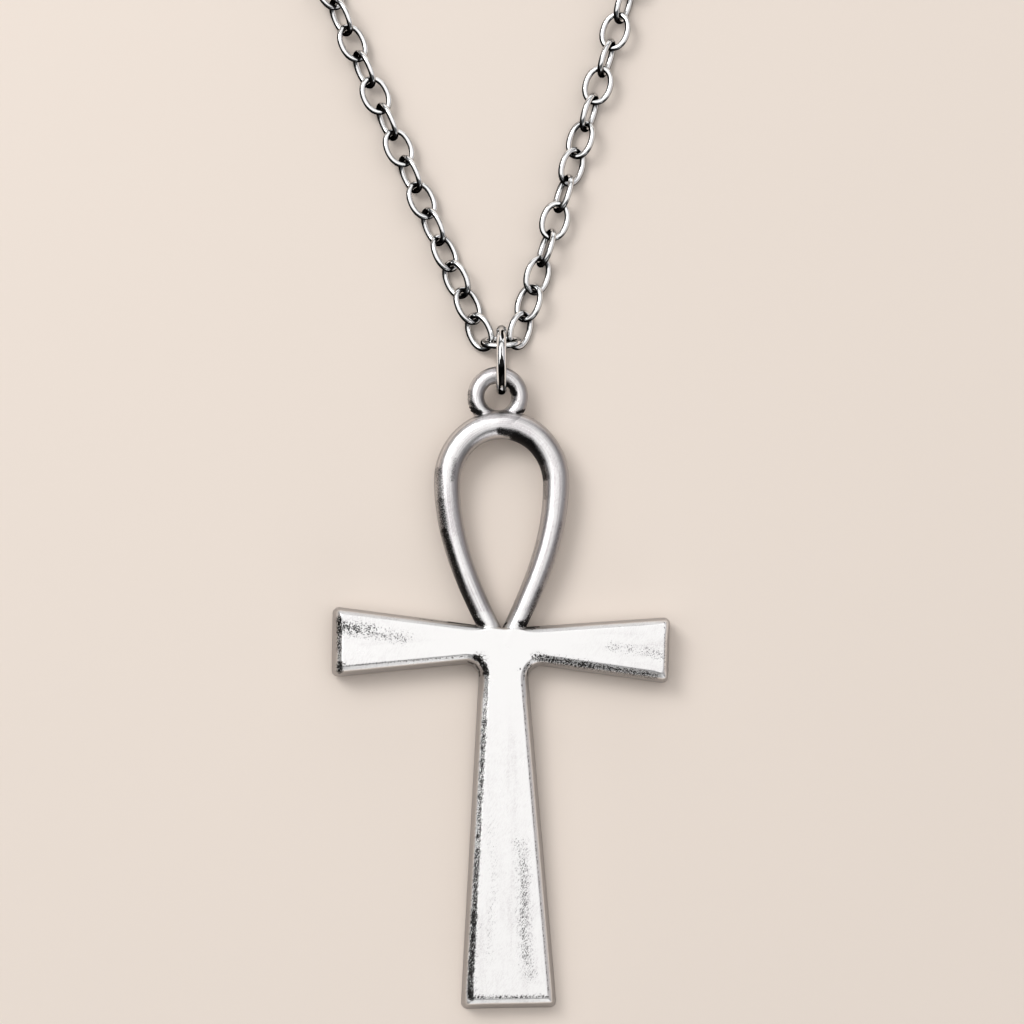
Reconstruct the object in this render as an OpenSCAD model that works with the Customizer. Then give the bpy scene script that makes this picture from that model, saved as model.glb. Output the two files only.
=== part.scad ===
// Ankh pendant on a cable chain necklace, laid out flat on its back.
// The foot of the ankh points to -Y and the clasp closes the loop at +Y.

/* [Shaft] */
// Cross centre to the foot of the shaft
shaft_l = 36.3; // [30:0.1:44]
// Shaft width at the height of the cross centre
shaft_neck_w = 4.5; // [3.6:0.1:6]
// Shaft width at its foot
shaft_foot_w = 9.6; // [7:0.1:12]

/* [Arms] */
// Shaft axis to the end of the left arm
arm_left_l = 17.1; // [13:0.1:21]
// Shaft axis to the end of the right arm
arm_right_l = 16.7; // [13:0.1:21]
// Arm width at the shaft axis
arm_neck_w = 3.2; // [2.6:0.1:4.2]
// Width of the left arm's end
arm_left_end_w = 7.1; // [5.5:0.1:9]
// Width of the right arm's end
arm_right_end_w = 6.7; // [5.5:0.1:9]
// Drop of the left arm towards the shaft, degrees
arm_left_drop = 1.7; // [0:0.1:4]
// Drop of the right arm towards its end, degrees
arm_right_drop = 2.9; // [0:0.1:4]

/* [Casting] */
// Thickness of the cross, back to face
cross_t = 2.6; // [2:0.1:3.6]
// Height of the drafted side wall
side_h = 1.9; // [1.4:0.1:2.4]
// Draft of the side wall, from the back edge inwards
side_draft = 0.5; // [0.2:0.05:0.8]
// Width of the bevel round the face
bevel_w = 0.5; // [0.2:0.05:0.8]
// Radius of the outer corners
corner_r = 0.65; // [0.3:0.05:1.2]
// Radius of the fillets under the arms
crotch_r = 1.3; // [0.6:0.1:2]

/* [Loop] */
// Cross centre to the top of the loop's centreline
loop_h = 22; // [18:0.1:27]
// Cross centre to the loop's widest point
loop_waist_y = 16.2; // [13:0.1:19]
// Half width of the loop's centreline at its widest
loop_half_w = 5.47; // [4.4:0.01:7]
// Depth below the cross centre where the two legs would meet
loop_root = 0.8; // [0.4:0.1:1.4]
// Width of the loop's band at the top
loop_top_w = 2.8; // [2.2:0.1:3.4]
// Width of the loop's band at its foot
loop_foot_w = 2; // [1.6:0.1:2.6]
// Thickness of the loop's band
loop_t = 2.5; // [1.9:0.1:3.5]
// Height of the straight side of the band
loop_side_h = 0.7; // [0.4:0.1:1.2]
// Lean of the loop to the right of the shaft, degrees
loop_lean = 0.9; // [0:0.1:2]

/* [Eye] */
// Outer diameter of the eye cast on top of the loop
eye_d = 6.06; // [5:0.02:7.5]
// Diameter of the hole in the eye
eye_hole_d = 2.74; // [2.3:0.02:3.2]
// How far the eye's outer edge sinks into the loop's band
eye_sink = 1.65; // [1:0.05:2.2]
// Height of the eye's wire centre above the pendant's back
eye_z = 1; // [0.9:0.05:1.4]

/* [Jump ring] */
// Outer diameter of the jump ring
ring_d = 7; // [6.4:0.1:8.5]
// Wire diameter of the jump ring
ring_wire = 1; // [0.8:0.05:1.1]
// Distance between the ring's centre and the eye's wire, along the pendant
ring_seat = 1.4; // [1.1:0.05:1.7]
// Turn of the ring away from the line of the necklace, degrees
ring_turn = 3.2; // [0:0.1:6]
// Turn of the pendant away from the line of the necklace, degrees
pendant_turn = 2.1; // [0:0.1:6]

/* [Chain] */
// Links on each side of the centre link
side_links = 74; // [50:1:100]
// Distance from one link to the next
pitch = 2.87; // [2.6:0.01:3.4]
// Wire diameter of the links
wire = 0.56; // [0.45:0.01:0.7]
// Outside width of a link
link_w = 2.85; // [2.5:0.05:3.4]
// Clearance between pieces that hang in each other
clear = 0.12; // [0.1:0.01:0.2]
// Angle between each strand and the line of the necklace, degrees
strand_angle = 20.8; // [12:0.1:32]
// Lean of the centre link from upright, degrees
centre_lean = 11; // [4:1:14]
// Clearance between the centre link and the two links in it
centre_clear = 0.18; // [0.16:0.01:0.3]

/* [Clasp] */
// Length of the clasp's body
clasp_l = 8; // [6:0.1:12]
// Diameter of the clasp's body
clasp_d = 2.9; // [2.8:0.1:4]
// Wire diameter of the clasp's eyes
clasp_wire = 0.7; // [0.6:0.05:0.9]
// Outer diameter of the clasp's eyes
clasp_eye_d = 3; // [2.8:0.1:4]
// Clearance between the clasp's eyes and the links in them
clasp_clear = 0.2; // [0.16:0.01:0.3]

/* [Hidden] */

// Roll of the links in the stretch beside the pendant, where 0 lies flat and
// 90 stands on edge, written for the odd links; the even ones are a quarter
// turn back from it. Columns: link, left strand, right strand.
ROLL = [
    [1, 24, 24], [3, 40, 30], [5, 56, 26], [7, 72, 40],
    [9, 80, 66], [11, 72, 78], [13, 62, 76], [20, 45, 45]
];
LINK = 0;
// Links before the clasp in which the roll comes round to suit its eyes
turn_links = 6;
// Points along a link and round its wire
link_sides = 10;
wire_sides = 5;
// Points along one half of the loop, with the share of them that the leg takes,
// and steps over its rounded front up to a narrow crown
loop_steps = 16;
leg_share = 0.5;
front_steps = 4;
crown_angle = 84;
// How far a cutter runs past the faces that it cuts
cut = 1;
// Points on each rounded corner of the cross
corner_steps = 4;
silver = [0.78, 0.77, 0.75];
steel = [0.72, 0.73, 0.75];

// Pendant frame: the eye's wire circle and where the ring passes it
eye_r = (eye_d + eye_hole_d) / 4;
eye_wire = (eye_d - eye_hole_d) / 2;
loop_top_y = loop_h + loop_top_w / 2;
eye_y = loop_top_y - eye_sink + eye_d / 2;
eye_top_y = eye_y + eye_r;

// The ring stands on the surface and lifts the eye off it
ring_r = (ring_d - ring_wire) / 2;
ring_z = ring_d / 2;
seat_r = ring_r - ring_wire / 2 - eye_wire / 2 - clear;
eye_rise = ring_z - sqrt(seat_r ^ 2 - ring_seat ^ 2);
lever = eye_top_y + shaft_l;
pendant_tilt = asin(eye_rise / norm([lever, eye_z])) - atan(eye_z / lever);

// A link's centreline, and the distances at which it hangs in its neighbours
link_a = (pitch + clear + wire) / 2;
link_b = (link_w - wire) / 2;
first_reach = link_a - wire - centre_clear;
clasp_a = clasp_l / 2 + clasp_eye_d - 3 * clasp_wire / 2;
clasp_reach = link_a + clasp_a - (wire + clasp_wire) / 2 - clasp_clear;

// Middle of the centre link, past the ring's centre: its lower side clears the ring
centre_y = sqrt((ring_r + (ring_wire + wire) / 2 + clear) ^ 2 - (ring_z - wire / 2) ^ 2)
    - link_b * sin(centre_lean);

// Half of the loop: a straight strand, then an arc about [0, route_c]
half_route = first_reach + (side_links - 1) * pitch + clasp_reach;
arc_turn = (90 + strand_angle) * PI / 180;
route_c = (half_route + link_a * (sin(strand_angle) - cos(strand_angle) * arc_turn))
    / (cos(strand_angle) + sin(strand_angle) * arc_turn);
route_r = link_a * cos(strand_angle) + route_c * sin(strand_angle);
strand_l = route_c * cos(strand_angle) - link_a * sin(strand_angle);

// The part's own frame has its origin under the middle of everything
foot_y = min([for (p = outline(cross_corners(), 0))
    -p.x * sin(pendant_turn) + cos(pendant_turn)
        * ((p.y - eye_top_y) * cos(pendant_tilt) + eye_z * sin(pendant_tilt) - ring_seat)]);
clasp_y = centre_y + route_c + route_r;
top_y = clasp_y + max(clasp_d, clasp_eye_d, link_w) / 2;
shift_y = -(foot_y + top_y) / 2;

// Points on an arc of radius r about a centre, from one direction to another
function arc_points(centre, r, a0, a1, n) =
    [for (i = [0:n]) let (a = a0 + (a1 - a0) * i / n) centre + r * [cos(a), sin(a)]];

function unit(v) = v / norm(v);

function turned(v, a) = [v.x * cos(a) - v.y * sin(a), v.x * sin(a) + v.y * cos(a)];

// One corner of an outline that runs anticlockwise, moved in and rounded
function corner(before, at, after, inset, r) =
    let (u = unit(at - before), w = unit(after - at),
         n0 = [-u.y, u.x], n1 = [-w.y, w.x],
         bend = u.x * w.y - u.y * w.x,
         side = bend > 0 ? 1 : -1,
         rr = max(0.02, r - side * inset),
         mitre = (n0 + n1) / (1 + n0 * n1),
         centre = at + mitre * (inset + side * rr),
         a0 = atan2(-side * n0.y, -side * n0.x),
         swing = atan2(bend, u * w))
    arc_points(centre, rr, a0, a0 + swing, corner_steps);

// Corners of the cross, anticlockwise from the foot, each with its radius
function cross_corners() =
    let (slope = (shaft_foot_w - shaft_neck_w) / 2 / shaft_l,
         right = turned([1, 0], -arm_right_drop), left = turned([-1, 0], -arm_left_drop),
         r_up = [-right.y, right.x], l_up = [left.y, -left.x],
         r_end = right * arm_right_l, l_end = left * arm_left_l,
         r_low = meet([shaft_neck_w / 2, 0], [slope, -1], -r_up * arm_neck_w / 2,
                      r_end - r_up * arm_right_end_w / 2),
         l_low = meet([-shaft_neck_w / 2, 0], [-slope, -1], -l_up * arm_neck_w / 2,
                      l_end - l_up * arm_left_end_w / 2))
    [
        [[-shaft_foot_w / 2, -shaft_l], corner_r],
        [[shaft_foot_w / 2, -shaft_l], corner_r],
        [r_low, crotch_r],
        [r_end - r_up * arm_right_end_w / 2, corner_r],
        [r_end + r_up * arm_right_end_w / 2, corner_r],
        [[0, arm_neck_w / 2], crotch_r],
        [l_end + l_up * arm_left_end_w / 2, corner_r],
        [l_end - l_up * arm_left_end_w / 2, corner_r],
        [l_low, crotch_r]
    ];

// Where the line from p along d meets the line through a and b
function meet(p, d, a, b) =
    let (e = b - a, k = ((a.x - p.x) * e.y - (a.y - p.y) * e.x) / (d.x * e.y - d.y * e.x))
    p + d * k;

function outline(corners, inset) =
    let (n = len(corners))
    [for (i = [0:n - 1])
        each corner(corners[(i + n - 1) % n][0], corners[i][0], corners[(i + 1) % n][0],
                    inset, corners[i][1])];

// A solid through level outlines [z, points], closed by fans from its hub
module stack(levels, hub) {
    n = len(levels[0][1]);
    m = len(levels);
    points = [
        for (level = levels) for (p = level[1]) [p.x, p.y, level[0]],
        [hub.x, hub.y, levels[0][0]], [hub.x, hub.y, levels[m - 1][0]]
    ];
    faces = [
        for (k = [0:m - 2]) for (i = [0:n - 1]) let (j = (i + 1) % n)
            each [[k * n + i, (k + 1) * n + i, (k + 1) * n + j],
                  [k * n + i, (k + 1) * n + j, k * n + j]],
        for (i = [0:n - 1]) let (j = (i + 1) % n)
            each [[m * n, i, j], [m * n + 1, (m - 1) * n + j, (m - 1) * n + i]]
    ];
    polyhedron(points, faces);
}

// The loop's centreline on the right, from the root (s = 0) to the top (s = 1)
function leg_y(s) =
    s < leg_share
        ? loop_waist_y * s / leg_share
        : loop_waist_y + (loop_h - loop_waist_y) * sin(90 * (s - leg_share) / (1 - leg_share));
function leg_x(s) =
    s < leg_share
        ? loop_half_w * cos(90 * (loop_waist_y - leg_y(s)) / (loop_waist_y + loop_root))
        : loop_half_w * cos(90 * (s - leg_share) / (1 - leg_share));
function leg_normal(s) =
    let (e = 0.001, a = max(0, s - e), b = min(1, s + e),
         t = unit([leg_x(b) - leg_x(a), leg_y(b) - leg_y(a)]))
    s > 1 - e ? [0, 1] : [t.y, -t.x];
function half_band(s) = (loop_foot_w + (loop_top_w - loop_foot_w) * leg_y(s) / loop_h) / 2;

// Point of the right-hand side at a share c of the half band, out or in
function leg_edge(s, c) = [leg_x(s), leg_y(s)] + leg_normal(s) * half_band(s) * c;

// Where the inner edge at share c crosses the axis, found by halving
function vee(c, low, high, n) =
    let (mid = (low + high) / 2)
    n == 0 ? mid
        : leg_edge(mid, -c).x < 0 ? vee(c, mid, high, n - 1) : vee(c, low, mid, n - 1);

function outer_outline(c) =
    let (right = [for (i = [0:loop_steps]) leg_edge(i / loop_steps, c)])
    [each right, for (i = [loop_steps - 1:-1:0]) [-right[i].x, right[i].y]];

function inner_outline(c) =
    let (s0 = vee(c, 0, leg_share, 14),
         right = [for (i = [1:loop_steps]) leg_edge(s0 + (1 - s0) * i / loop_steps, -c)])
    [[0, leg_edge(s0, -c).y], each right,
     for (i = [loop_steps - 2:-1:0]) [-right[i].x, right[i].y]];

// The band has a flat back, straight sides and a rounded front
module loop() {
    rise = loop_t - loop_side_h;
    front = [for (i = [0:front_steps]) let (a = crown_angle * i / front_steps)
        [loop_side_h + rise * sin(a) / sin(crown_angle), cos(a)]];
    hub = [0, loop_waist_y];
    difference() {
        stack([[0, outer_outline(1)], for (f = front) [f[0], outer_outline(f[1])]], hub);
        stack([
            [-cut, inner_outline(1)],
            for (f = front) [f[0], inner_outline(f[1])],
            [loop_t + cut, inner_outline(cos(crown_angle))]
        ], hub);
    }
}

module ring(centre_r, d) {
    rotate_extrude($fn = 96) translate([centre_r, 0]) circle(d = d, $fn = 32);
}

// The cast pendant in its own frame: back on z = 0, cross centre at [0, 0]
module pendant() {
    corners = cross_corners();
    stack([
        [0, outline(corners, 0)],
        [side_h, outline(corners, side_draft)],
        [cross_t, outline(corners, side_draft + bevel_w)]
    ], [0, 0]);
    rotate([0, 0, -loop_lean]) loop();
    translate([0, eye_y, eye_z]) ring(eye_r, eye_wire);
}

module ankh() {
    color(silver)
        translate([0, shift_y, eye_rise])
        rotate([0, 0, -pendant_turn])
        translate([0, -ring_seat, 0])
        rotate([pendant_tilt, 0, 0])
        translate([0, -eye_top_y, -eye_z])
        pendant();
}

module jump_ring() {
    color(steel)
        translate([0, shift_y, ring_z])
        rotate([0, 0, -ring_turn])
        rotate([0, 90, 0])
        ring(ring_r, ring_wire);
}

// Roll of link k on a strand, in degrees: column 1 is left, column 2 is right
function table_roll(k, column) =
    let (after = [for (i = [1:len(ROLL) - 1]) if (ROLL[i][LINK] >= k) i][0],
         low = ROLL[after - 1], high = ROLL[after],
         share = (k - low[LINK]) / (high[LINK] - low[LINK]))
    low[column] + (high[column] - low[column]) * share;
rest_roll = ROLL[len(ROLL) - 1][1];
last_roll = side_links % 2 == 1 ? 90 : 0;
function odd_roll(k, column) =
    k > side_links - turn_links
        ? rest_roll + (last_roll - rest_roll) * (k - side_links + turn_links) / turn_links
        : k >= ROLL[len(ROLL) - 1][LINK] ? rest_roll : table_roll(k, column);

// Height of link k, which stands on the surface
function link_z(k, column) =
    let (a = odd_roll(k, column)) wire / 2 + link_b * max(abs(sin(a)), abs(cos(a)));
centre_z = wire / 2 + link_b * cos(centre_lean);

// Place of link k: x for the right-hand strand, y, and its heading in degrees
function route(k) =
    let (s = first_reach + (k - 1) * pitch, a = (s - strand_l) / route_r * 180 / PI - strand_angle)
    s <= strand_l
        ? [link_a + s * sin(strand_angle), s * cos(strand_angle), 90 - strand_angle]
        : [route_r * cos(a), route_c + route_r * sin(a), a + 90];

// Points of one link about its own centre, long way along X, with its wire
// sections in order round the link
function link_points() =
    let (half_step = 180 / link_sides, ca = link_a / cos(half_step))
    [for (i = [0:link_sides - 1])
        let (t = half_step + i * 360 / link_sides,
             p = [ca * cos(t), link_b * sin(t)],
             n = unit([link_b * cos(t), link_a * sin(t)]))
        for (j = [0:wire_sides - 1])
            let (a = 360 * j / wire_sides)
            [p.x + n.x * wire / 2 * cos(a), p.y + n.y * wire / 2 * cos(a), wire / 2 * sin(a)]
    ];

// A link's points rolled about its length, turned to its heading and placed
function placed(points, roll, heading, at) =
    [for (p = points)
        let (y = p.y * cos(roll) - p.z * sin(roll), z = p.y * sin(roll) + p.z * cos(roll))
        [at.x + p.x * cos(heading) - y * sin(heading),
         at.y + p.x * sin(heading) + y * cos(heading), at.z + z]];

function link_faces(first) =
    [for (i = [0:link_sides - 1]) for (j = [0:wire_sides - 1])
        let (i2 = (i + 1) % link_sides, j2 = (j + 1) % wire_sides,
             a = first + i * wire_sides + j, b = first + i2 * wire_sides + j,
             c = first + i2 * wire_sides + j2, d = first + i * wire_sides + j2)
        each [[a, c, b], [a, d, c]]];

// One strand as loose links, counted from the pendant; side 1 is to the right
// and the centre link goes with the left-hand strand
module strand(side) {
    shape = link_points();
    column = side > 0 ? 2 : 1;
    links = [
        if (side < 0) placed(shape, 90 + centre_lean, 0, [0, 0, centre_z]),
        for (k = [1:side_links])
            let (r = route(k), roll = odd_roll(k, column) - (k % 2 == 0 ? 90 : 0))
            placed(shape, side * roll, side > 0 ? r[2] : 180 - r[2],
                   [side * r[0], r[1], link_z(k, column)])
    ];
    color(steel)
        translate([0, shift_y + centre_y, 0])
        polyhedron(
            [for (l = links) each l],
            [for (i = [0:len(links) - 1]) each link_faces(i * link_sides * wire_sides)]);
}

module chain_left() { strand(-1); }

module chain_right() { strand(1); }

// A plain closed clasp: a barrel with an eye at each end
module clasp() {
    neck_d = 2 * clasp_wire;
    eye_at = clasp_l / 2 + clasp_eye_d / 2 - clasp_wire;
    color(steel)
        translate([0, shift_y + clasp_y, max(clasp_d, link_w) / 2]) {
            rotate([0, 90, 0])
                rotate_extrude($fn = 48)
                polygon([
                    [0, -clasp_l / 2], [neck_d / 2, -clasp_l / 2],
                    [clasp_d / 2, -clasp_l / 4], [clasp_d / 2, clasp_l / 4],
                    [neck_d / 2, clasp_l / 2], [0, clasp_l / 2]
                ]);
            for (side = [-1, 1])
                translate([side * eye_at, 0, 0])
                ring((clasp_eye_d - clasp_wire) / 2, clasp_wire);
        }
}

ankh();
jump_ring();
chain_left();
chain_right();
clasp();
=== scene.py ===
"""Looks of an ankh pendant on its cable chain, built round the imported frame.

The pendant is shaped in millimetres in its own frame: back on z = 0, cross centre
at the origin, loop towards +y. Everything else is in metres in the frame's own axes.
"""
import math
from types import SimpleNamespace

import bmesh
import bpy
import numpy as np
from bpy.props import FloatProperty, FloatVectorProperty, IntProperty
from mathutils import Matrix, Vector
from mathutils.geometry import delaunay_2d_cdt


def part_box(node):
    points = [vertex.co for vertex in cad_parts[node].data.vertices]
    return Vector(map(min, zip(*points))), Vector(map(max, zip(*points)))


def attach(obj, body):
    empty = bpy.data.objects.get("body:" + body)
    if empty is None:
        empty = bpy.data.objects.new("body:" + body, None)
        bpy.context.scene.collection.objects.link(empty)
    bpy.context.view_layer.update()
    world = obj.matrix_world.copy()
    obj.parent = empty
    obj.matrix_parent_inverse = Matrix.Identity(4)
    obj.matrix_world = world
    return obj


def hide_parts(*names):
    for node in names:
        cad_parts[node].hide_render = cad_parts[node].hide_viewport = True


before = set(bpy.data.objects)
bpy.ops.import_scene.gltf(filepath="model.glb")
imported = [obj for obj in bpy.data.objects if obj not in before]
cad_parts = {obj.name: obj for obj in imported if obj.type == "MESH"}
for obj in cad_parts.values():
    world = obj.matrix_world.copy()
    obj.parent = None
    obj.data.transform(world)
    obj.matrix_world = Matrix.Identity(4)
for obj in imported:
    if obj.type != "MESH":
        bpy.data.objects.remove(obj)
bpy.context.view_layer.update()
MM = 0.001

bl_info = {
    "name": "Ankh pendant necklace",
    "version": (1, 0, 0),
    "blender": (4, 5, 0),
    "location": "View3D > Sidebar > Necklace",
    "description": "Builds a cast ankh pendant, its jump ring, cable chain and clasp",
    "category": "Add Mesh",
}


def length(name, description, default_mm):
    """A length, given in millimetres and kept in metres."""
    return FloatProperty(name=name, description=description, default=default_mm * MM,
                         unit="LENGTH", precision=5)


def angle(name, description, degrees):
    """An angle, given in degrees and kept in radians."""
    return FloatProperty(name=name, description=description, default=math.radians(degrees),
                         subtype="ANGLE")


def share(name, description, default):
    return FloatProperty(name=name, description=description, default=default)


def count(name, description, default):
    return IntProperty(name=name, description=description, default=default, min=1)


def colour(name, description, default):
    return FloatVectorProperty(name=name, description=description, default=default,
                               size=3, subtype="COLOR", min=0.0, max=1.0)


class AnkhSizes(bpy.types.PropertyGroup):
    """Sizes of the cast ankh."""

    shaft_l: length("Shaft length", "Cross centre to the foot", 36.3)
    shaft_neck_w: length("Shaft neck", "Shaft width at the cross centre", 4.5)
    shaft_foot_w: length("Shaft foot", "Shaft width at its foot", 9.6)
    arm_left_l: length("Left arm", "Shaft axis to the left arm's end", 17.1)
    arm_right_l: length("Right arm", "Shaft axis to the right arm's end", 16.7)
    arm_neck_w: length("Arm neck", "Arm width at the shaft axis", 3.2)
    arm_left_end_w: length("Left arm end", "Width of the left arm's end", 7.1)
    arm_right_end_w: length("Right arm end", "Width of the right arm's end", 6.7)
    arm_left_drop: angle("Left drop", "Drop of the left arm towards the shaft", 1.7)
    arm_right_drop: angle("Right drop", "Drop of the right arm towards its end", 2.9)
    cross_t: length("Thickness", "Back to face", 2.6)
    side_h: length("Side height", "Height of the drafted side wall", 2.25)
    side_draft: length("Side draft", "Draft of the side wall", 0.42)
    bevel_w: length("Bevel", "Width of the bevel round the face", 0.5)
    corner_r: length("Corner radius", "Radius of the outer corners", 0.65)
    crotch_r: length("Fillet radius", "Radius of the fillets under the arms", 1.3)
    loop_h: length("Loop height", "Cross centre to the top of the loop's centreline", 22)
    loop_waist_y: length("Loop waist", "Cross centre to the loop's widest point", 16.2)
    loop_half_w: length("Loop half width", "Half width of the loop's centreline", 5.47)
    loop_root: length("Loop root", "Depth at which the loop's legs would meet", 0.8)
    loop_top_w: length("Band at the top", "Width of the loop's band at the top", 2.8)
    loop_foot_w: length("Band at the foot", "Width of the loop's band at its foot", 2)
    loop_t: length("Band thickness", "Thickness of the loop's band", 2.5)
    loop_side_h: length("Band side", "Height of the band's straight side", 1.0)
    loop_fullness: share("Band fullness", "Exponent of the band's section, 2 for an ellipse", 2.25)
    loop_shift: length("Loop shift", "Shift of the loop and the eye to the right", -0.15)
    loop_lean: angle("Loop lean", "Lean of the loop to the right", 0.9)
    eye_d: length("Eye", "Outer diameter of the eye", 6.06)
    eye_hole_d: length("Eye hole", "Diameter of the hole in the eye", 2.74)
    eye_sink: length("Eye sink", "How far the eye sinks into the loop", 1.65)
    eye_z: length("Eye height", "Height of the eye's wire above the back", 1)
    pendant_turn: angle("Pendant turn", "Turn away from the necklace's line", 2.1)
    grid: length("Grid", "Spacing of the grid on which the outlines are traced", 0.12)


class RingSizes(bpy.types.PropertyGroup):
    """Sizes of the jump ring."""

    wire: length("Wire", "Wire diameter", 1)
    lean: angle("Lean", "Lean of the ring's top to the left", 3.4)
    shift: length("Shift", "Shift of the ring to the right", 0.23)
    seat: length("Seat", "Distance between the ring's centre and the eye's wire", 1.4)
    turn: angle("Turn", "Turn away from the necklace's line", 3.2)
    clear: length("Clearance", "Clearance between pieces that hang in each other", 0.12)
    cut_w: length("Cut", "Width of the cut where the ring closes", 0.04)
    cut_angle: angle("Cut place", "Where the cut lies, round from the ring's top", 250)


class ChainSizes(bpy.types.PropertyGroup):
    """Sizes of the cable chain and the way that it lies."""

    side_links: count("Links", "Links on each side of the centre link", 74)
    pitch: length("Pitch", "Distance from one link to the next", 2.87)
    wire: length("Wire", "Wire diameter of the links", 0.6)
    link_l: length("Link length", "Length of a link's centreline", 3.55)
    link_w: length("Link width", "Width of a link's centreline", 2.46)
    fullness: share("Link fullness", "Exponent of a link's oval, 2 for an ellipse", 2.15)
    draw_in: length("Draw in", "How far the strands lie inside the solids' own line", 0.18)
    centre_lean: angle("Centre lean", "Lean of the centre link from upright", 23)
    centre_play: length("Centre play", "Play between the ring and the centre link", 0.24)
    centre_shift: length("Centre shift", "Shift of the centre link to the right of the ring", 0.16)
    centre_clear: length("Centre clearance", "Clearance round the centre link", 0.18)
    clasp_clear: length("Clasp clearance", "Clearance in the clasp's eyes", 0.2)
    strand_angle: angle("Strand angle", "Angle of each strand to the necklace's line", 20.8)
    least_rise: share("Least rise", "Least height of a link's middle, as a share of its half width", 0.78)
    turn_links: count("Turning links", "Links in which the roll comes round", 6)
    left_drift: length("Left drift", "Shift of the left strand's first links", 0.52)
    right_drift: length("Right drift", "Shift of the right strand's first links", 0.19)
    slack: length("Slack", "Play taken up before the first link", 0.2)
    slack_step: length("Slack step", "Play taken up between the first links", 0.031)
    link_steps: count("Link steps", "Straight stretches round a link", 32)
    wire_steps: count("Wire steps", "Sides of a link's wire", 10)


class ClaspSizes(bpy.types.PropertyGroup):
    """Sizes of the clasp."""

    length: length("Length", "Length of the body", 8)
    diameter: length("Diameter", "Diameter of the body", 2.9)
    wire: length("Eye wire", "Wire diameter of the eyes", 0.7)
    eye_d: length("Eye", "Outer diameter of the eyes", 3)
    steps: count("Steps", "Steps round the body", 64)


class Finish(bpy.types.PropertyGroup):
    """Colours of the metals and of the stage."""

    silver: colour("Silver", "Brushed silver of the casting", (0.895, 0.887, 0.88))
    worn: colour("Worn silver", "Greyer silver in its streaks and pits", (0.52, 0.475, 0.49))
    # Grey of the thin scratches, and of the faint painted shade lines along edges
    etched_and_shade_grey: colour("Etched silver", "Grey of the thin scratches", (0.36, 0.345, 0.355))
    # Partly duller silver and partly painted shade: the side walls and back are painted darker for the
    # shaded floor beside them that they reflect
    side: colour("Side", "Duller silver of the side walls", (0.6, 0.58, 0.57))
    # Painted shade: grey standing for the dimmer light that flanks facing right reflect
    flank_shade: colour("Flank", "Greyer silver of flanks that face right", (0.33, 0.315, 0.325))
    silver_rim: colour("Silver rim", "How steep silver walls reflect", (0.64, 0.63, 0.63))
    # Dark patina in the hollows, and painted shade and dark reflections on bevels and flanks that face
    # away from the light
    patina_and_shade_colour: colour("Patina", "Dark patina left in the low places", (0.011, 0.010, 0.010))
    steel: colour("Steel", "Polished steel of the chain", (0.97, 0.97, 0.97))
    # Painted shade and dark reflections down the sides of the wire that face away from the light
    steel_painted_shade: colour("Steel side", "Darker steel down the sides of the wire", (0.012, 0.011, 0.011))
    steel_rim: colour("Steel rim", "How the rims of the wire reflect", (0.2, 0.2, 0.2))
    floor: colour("Floor", "Plain pale floor", (0.86, 0.762, 0.68))


# Roll of the links beside the pendant, in degrees: for an odd link 0 lies flat and 90
# stands on edge, and for an even one the other way. Columns: link, left, right strand.
ROLL = (
    (1, 38, 40), (2, 58, 54), (3, 42, 30), (4, 54, 18), (5, 58, 6), (6, 70, 22), (7, 62, 34),
    (8, 78, 58), (9, 70, 66), (10, 82, 86), (11, 66, 70), (12, 70, 78), (13, 62, 62), (20, 45, 45),
)


def in_mm(group):
    """A property group's lengths in millimetres, and its other values as they are."""
    values = {}
    for name, prop in group.bl_rna.properties.items():
        if name in ("rna_type", "name"):
            continue
        value = getattr(group, name)
        values[name] = value / MM if prop.unit == "LENGTH" else value
    return SimpleNamespace(**values)


def unit(v):
    """A vector's direction, one long."""
    return v / np.linalg.norm(v)


def turned(v, a):
    """A flat vector turned anticlockwise by an angle."""
    c, s = math.cos(a), math.sin(a)
    return np.array([v[0] * c - v[1] * s, v[0] * s + v[1] * c])


def smooth_step(x, low, high):
    """0 below low, 1 above high, and smooth between."""
    t = np.clip((x - low) / (high - low), 0.0, 1.0)
    return t * t * (3.0 - 2.0 * t)


def smooth_max(a, b, blend):
    """The larger of two heights, with their meeting line rounded over blend."""
    h = np.clip(0.5 + 0.5 * (a - b) / blend, 0.0, 1.0)
    return b + (a - b) * h + blend * h * (1.0 - h)


def cross_corners(s):
    """Corners of the cross, anticlockwise from the foot, each with its radius."""
    slope = (s.shaft_foot_w - s.shaft_neck_w) / 2 / s.shaft_l
    right = turned((1, 0), -s.arm_right_drop)
    left = turned((-1, 0), -s.arm_left_drop)
    r_up = np.array([-right[1], right[0]])
    l_up = np.array([left[1], -left[0]])
    r_end, l_end = right * s.arm_right_l, left * s.arm_left_l
    r_low_end = r_end - r_up * s.arm_right_end_w / 2
    l_low_end = l_end - l_up * s.arm_left_end_w / 2
    r_low = crossing((s.shaft_neck_w / 2, 0), (slope, -1), -r_up * s.arm_neck_w / 2, r_low_end)
    l_low = crossing((-s.shaft_neck_w / 2, 0), (-slope, -1), -l_up * s.arm_neck_w / 2, l_low_end)
    return [
        ((-s.shaft_foot_w / 2, -s.shaft_l), s.corner_r),
        ((s.shaft_foot_w / 2, -s.shaft_l), s.corner_r),
        (r_low, s.crotch_r),
        (r_low_end, s.corner_r),
        (r_end + r_up * s.arm_right_end_w / 2, s.corner_r),
        ((0, s.arm_neck_w / 2), s.crotch_r),
        (l_end + l_up * s.arm_left_end_w / 2, s.corner_r),
        (l_low_end, s.corner_r),
        (l_low, s.crotch_r),
    ]


def crossing(p, d, a, b):
    """Where the line from p along d meets the line through a and b."""
    p, d, a, b = (np.array(v, float) for v in (p, d, a, b))
    e = b - a
    k = ((a[0] - p[0]) * e[1] - (a[1] - p[1]) * e[0]) / (d[0] * e[1] - d[1] * e[0])
    return p + d * k


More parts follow.
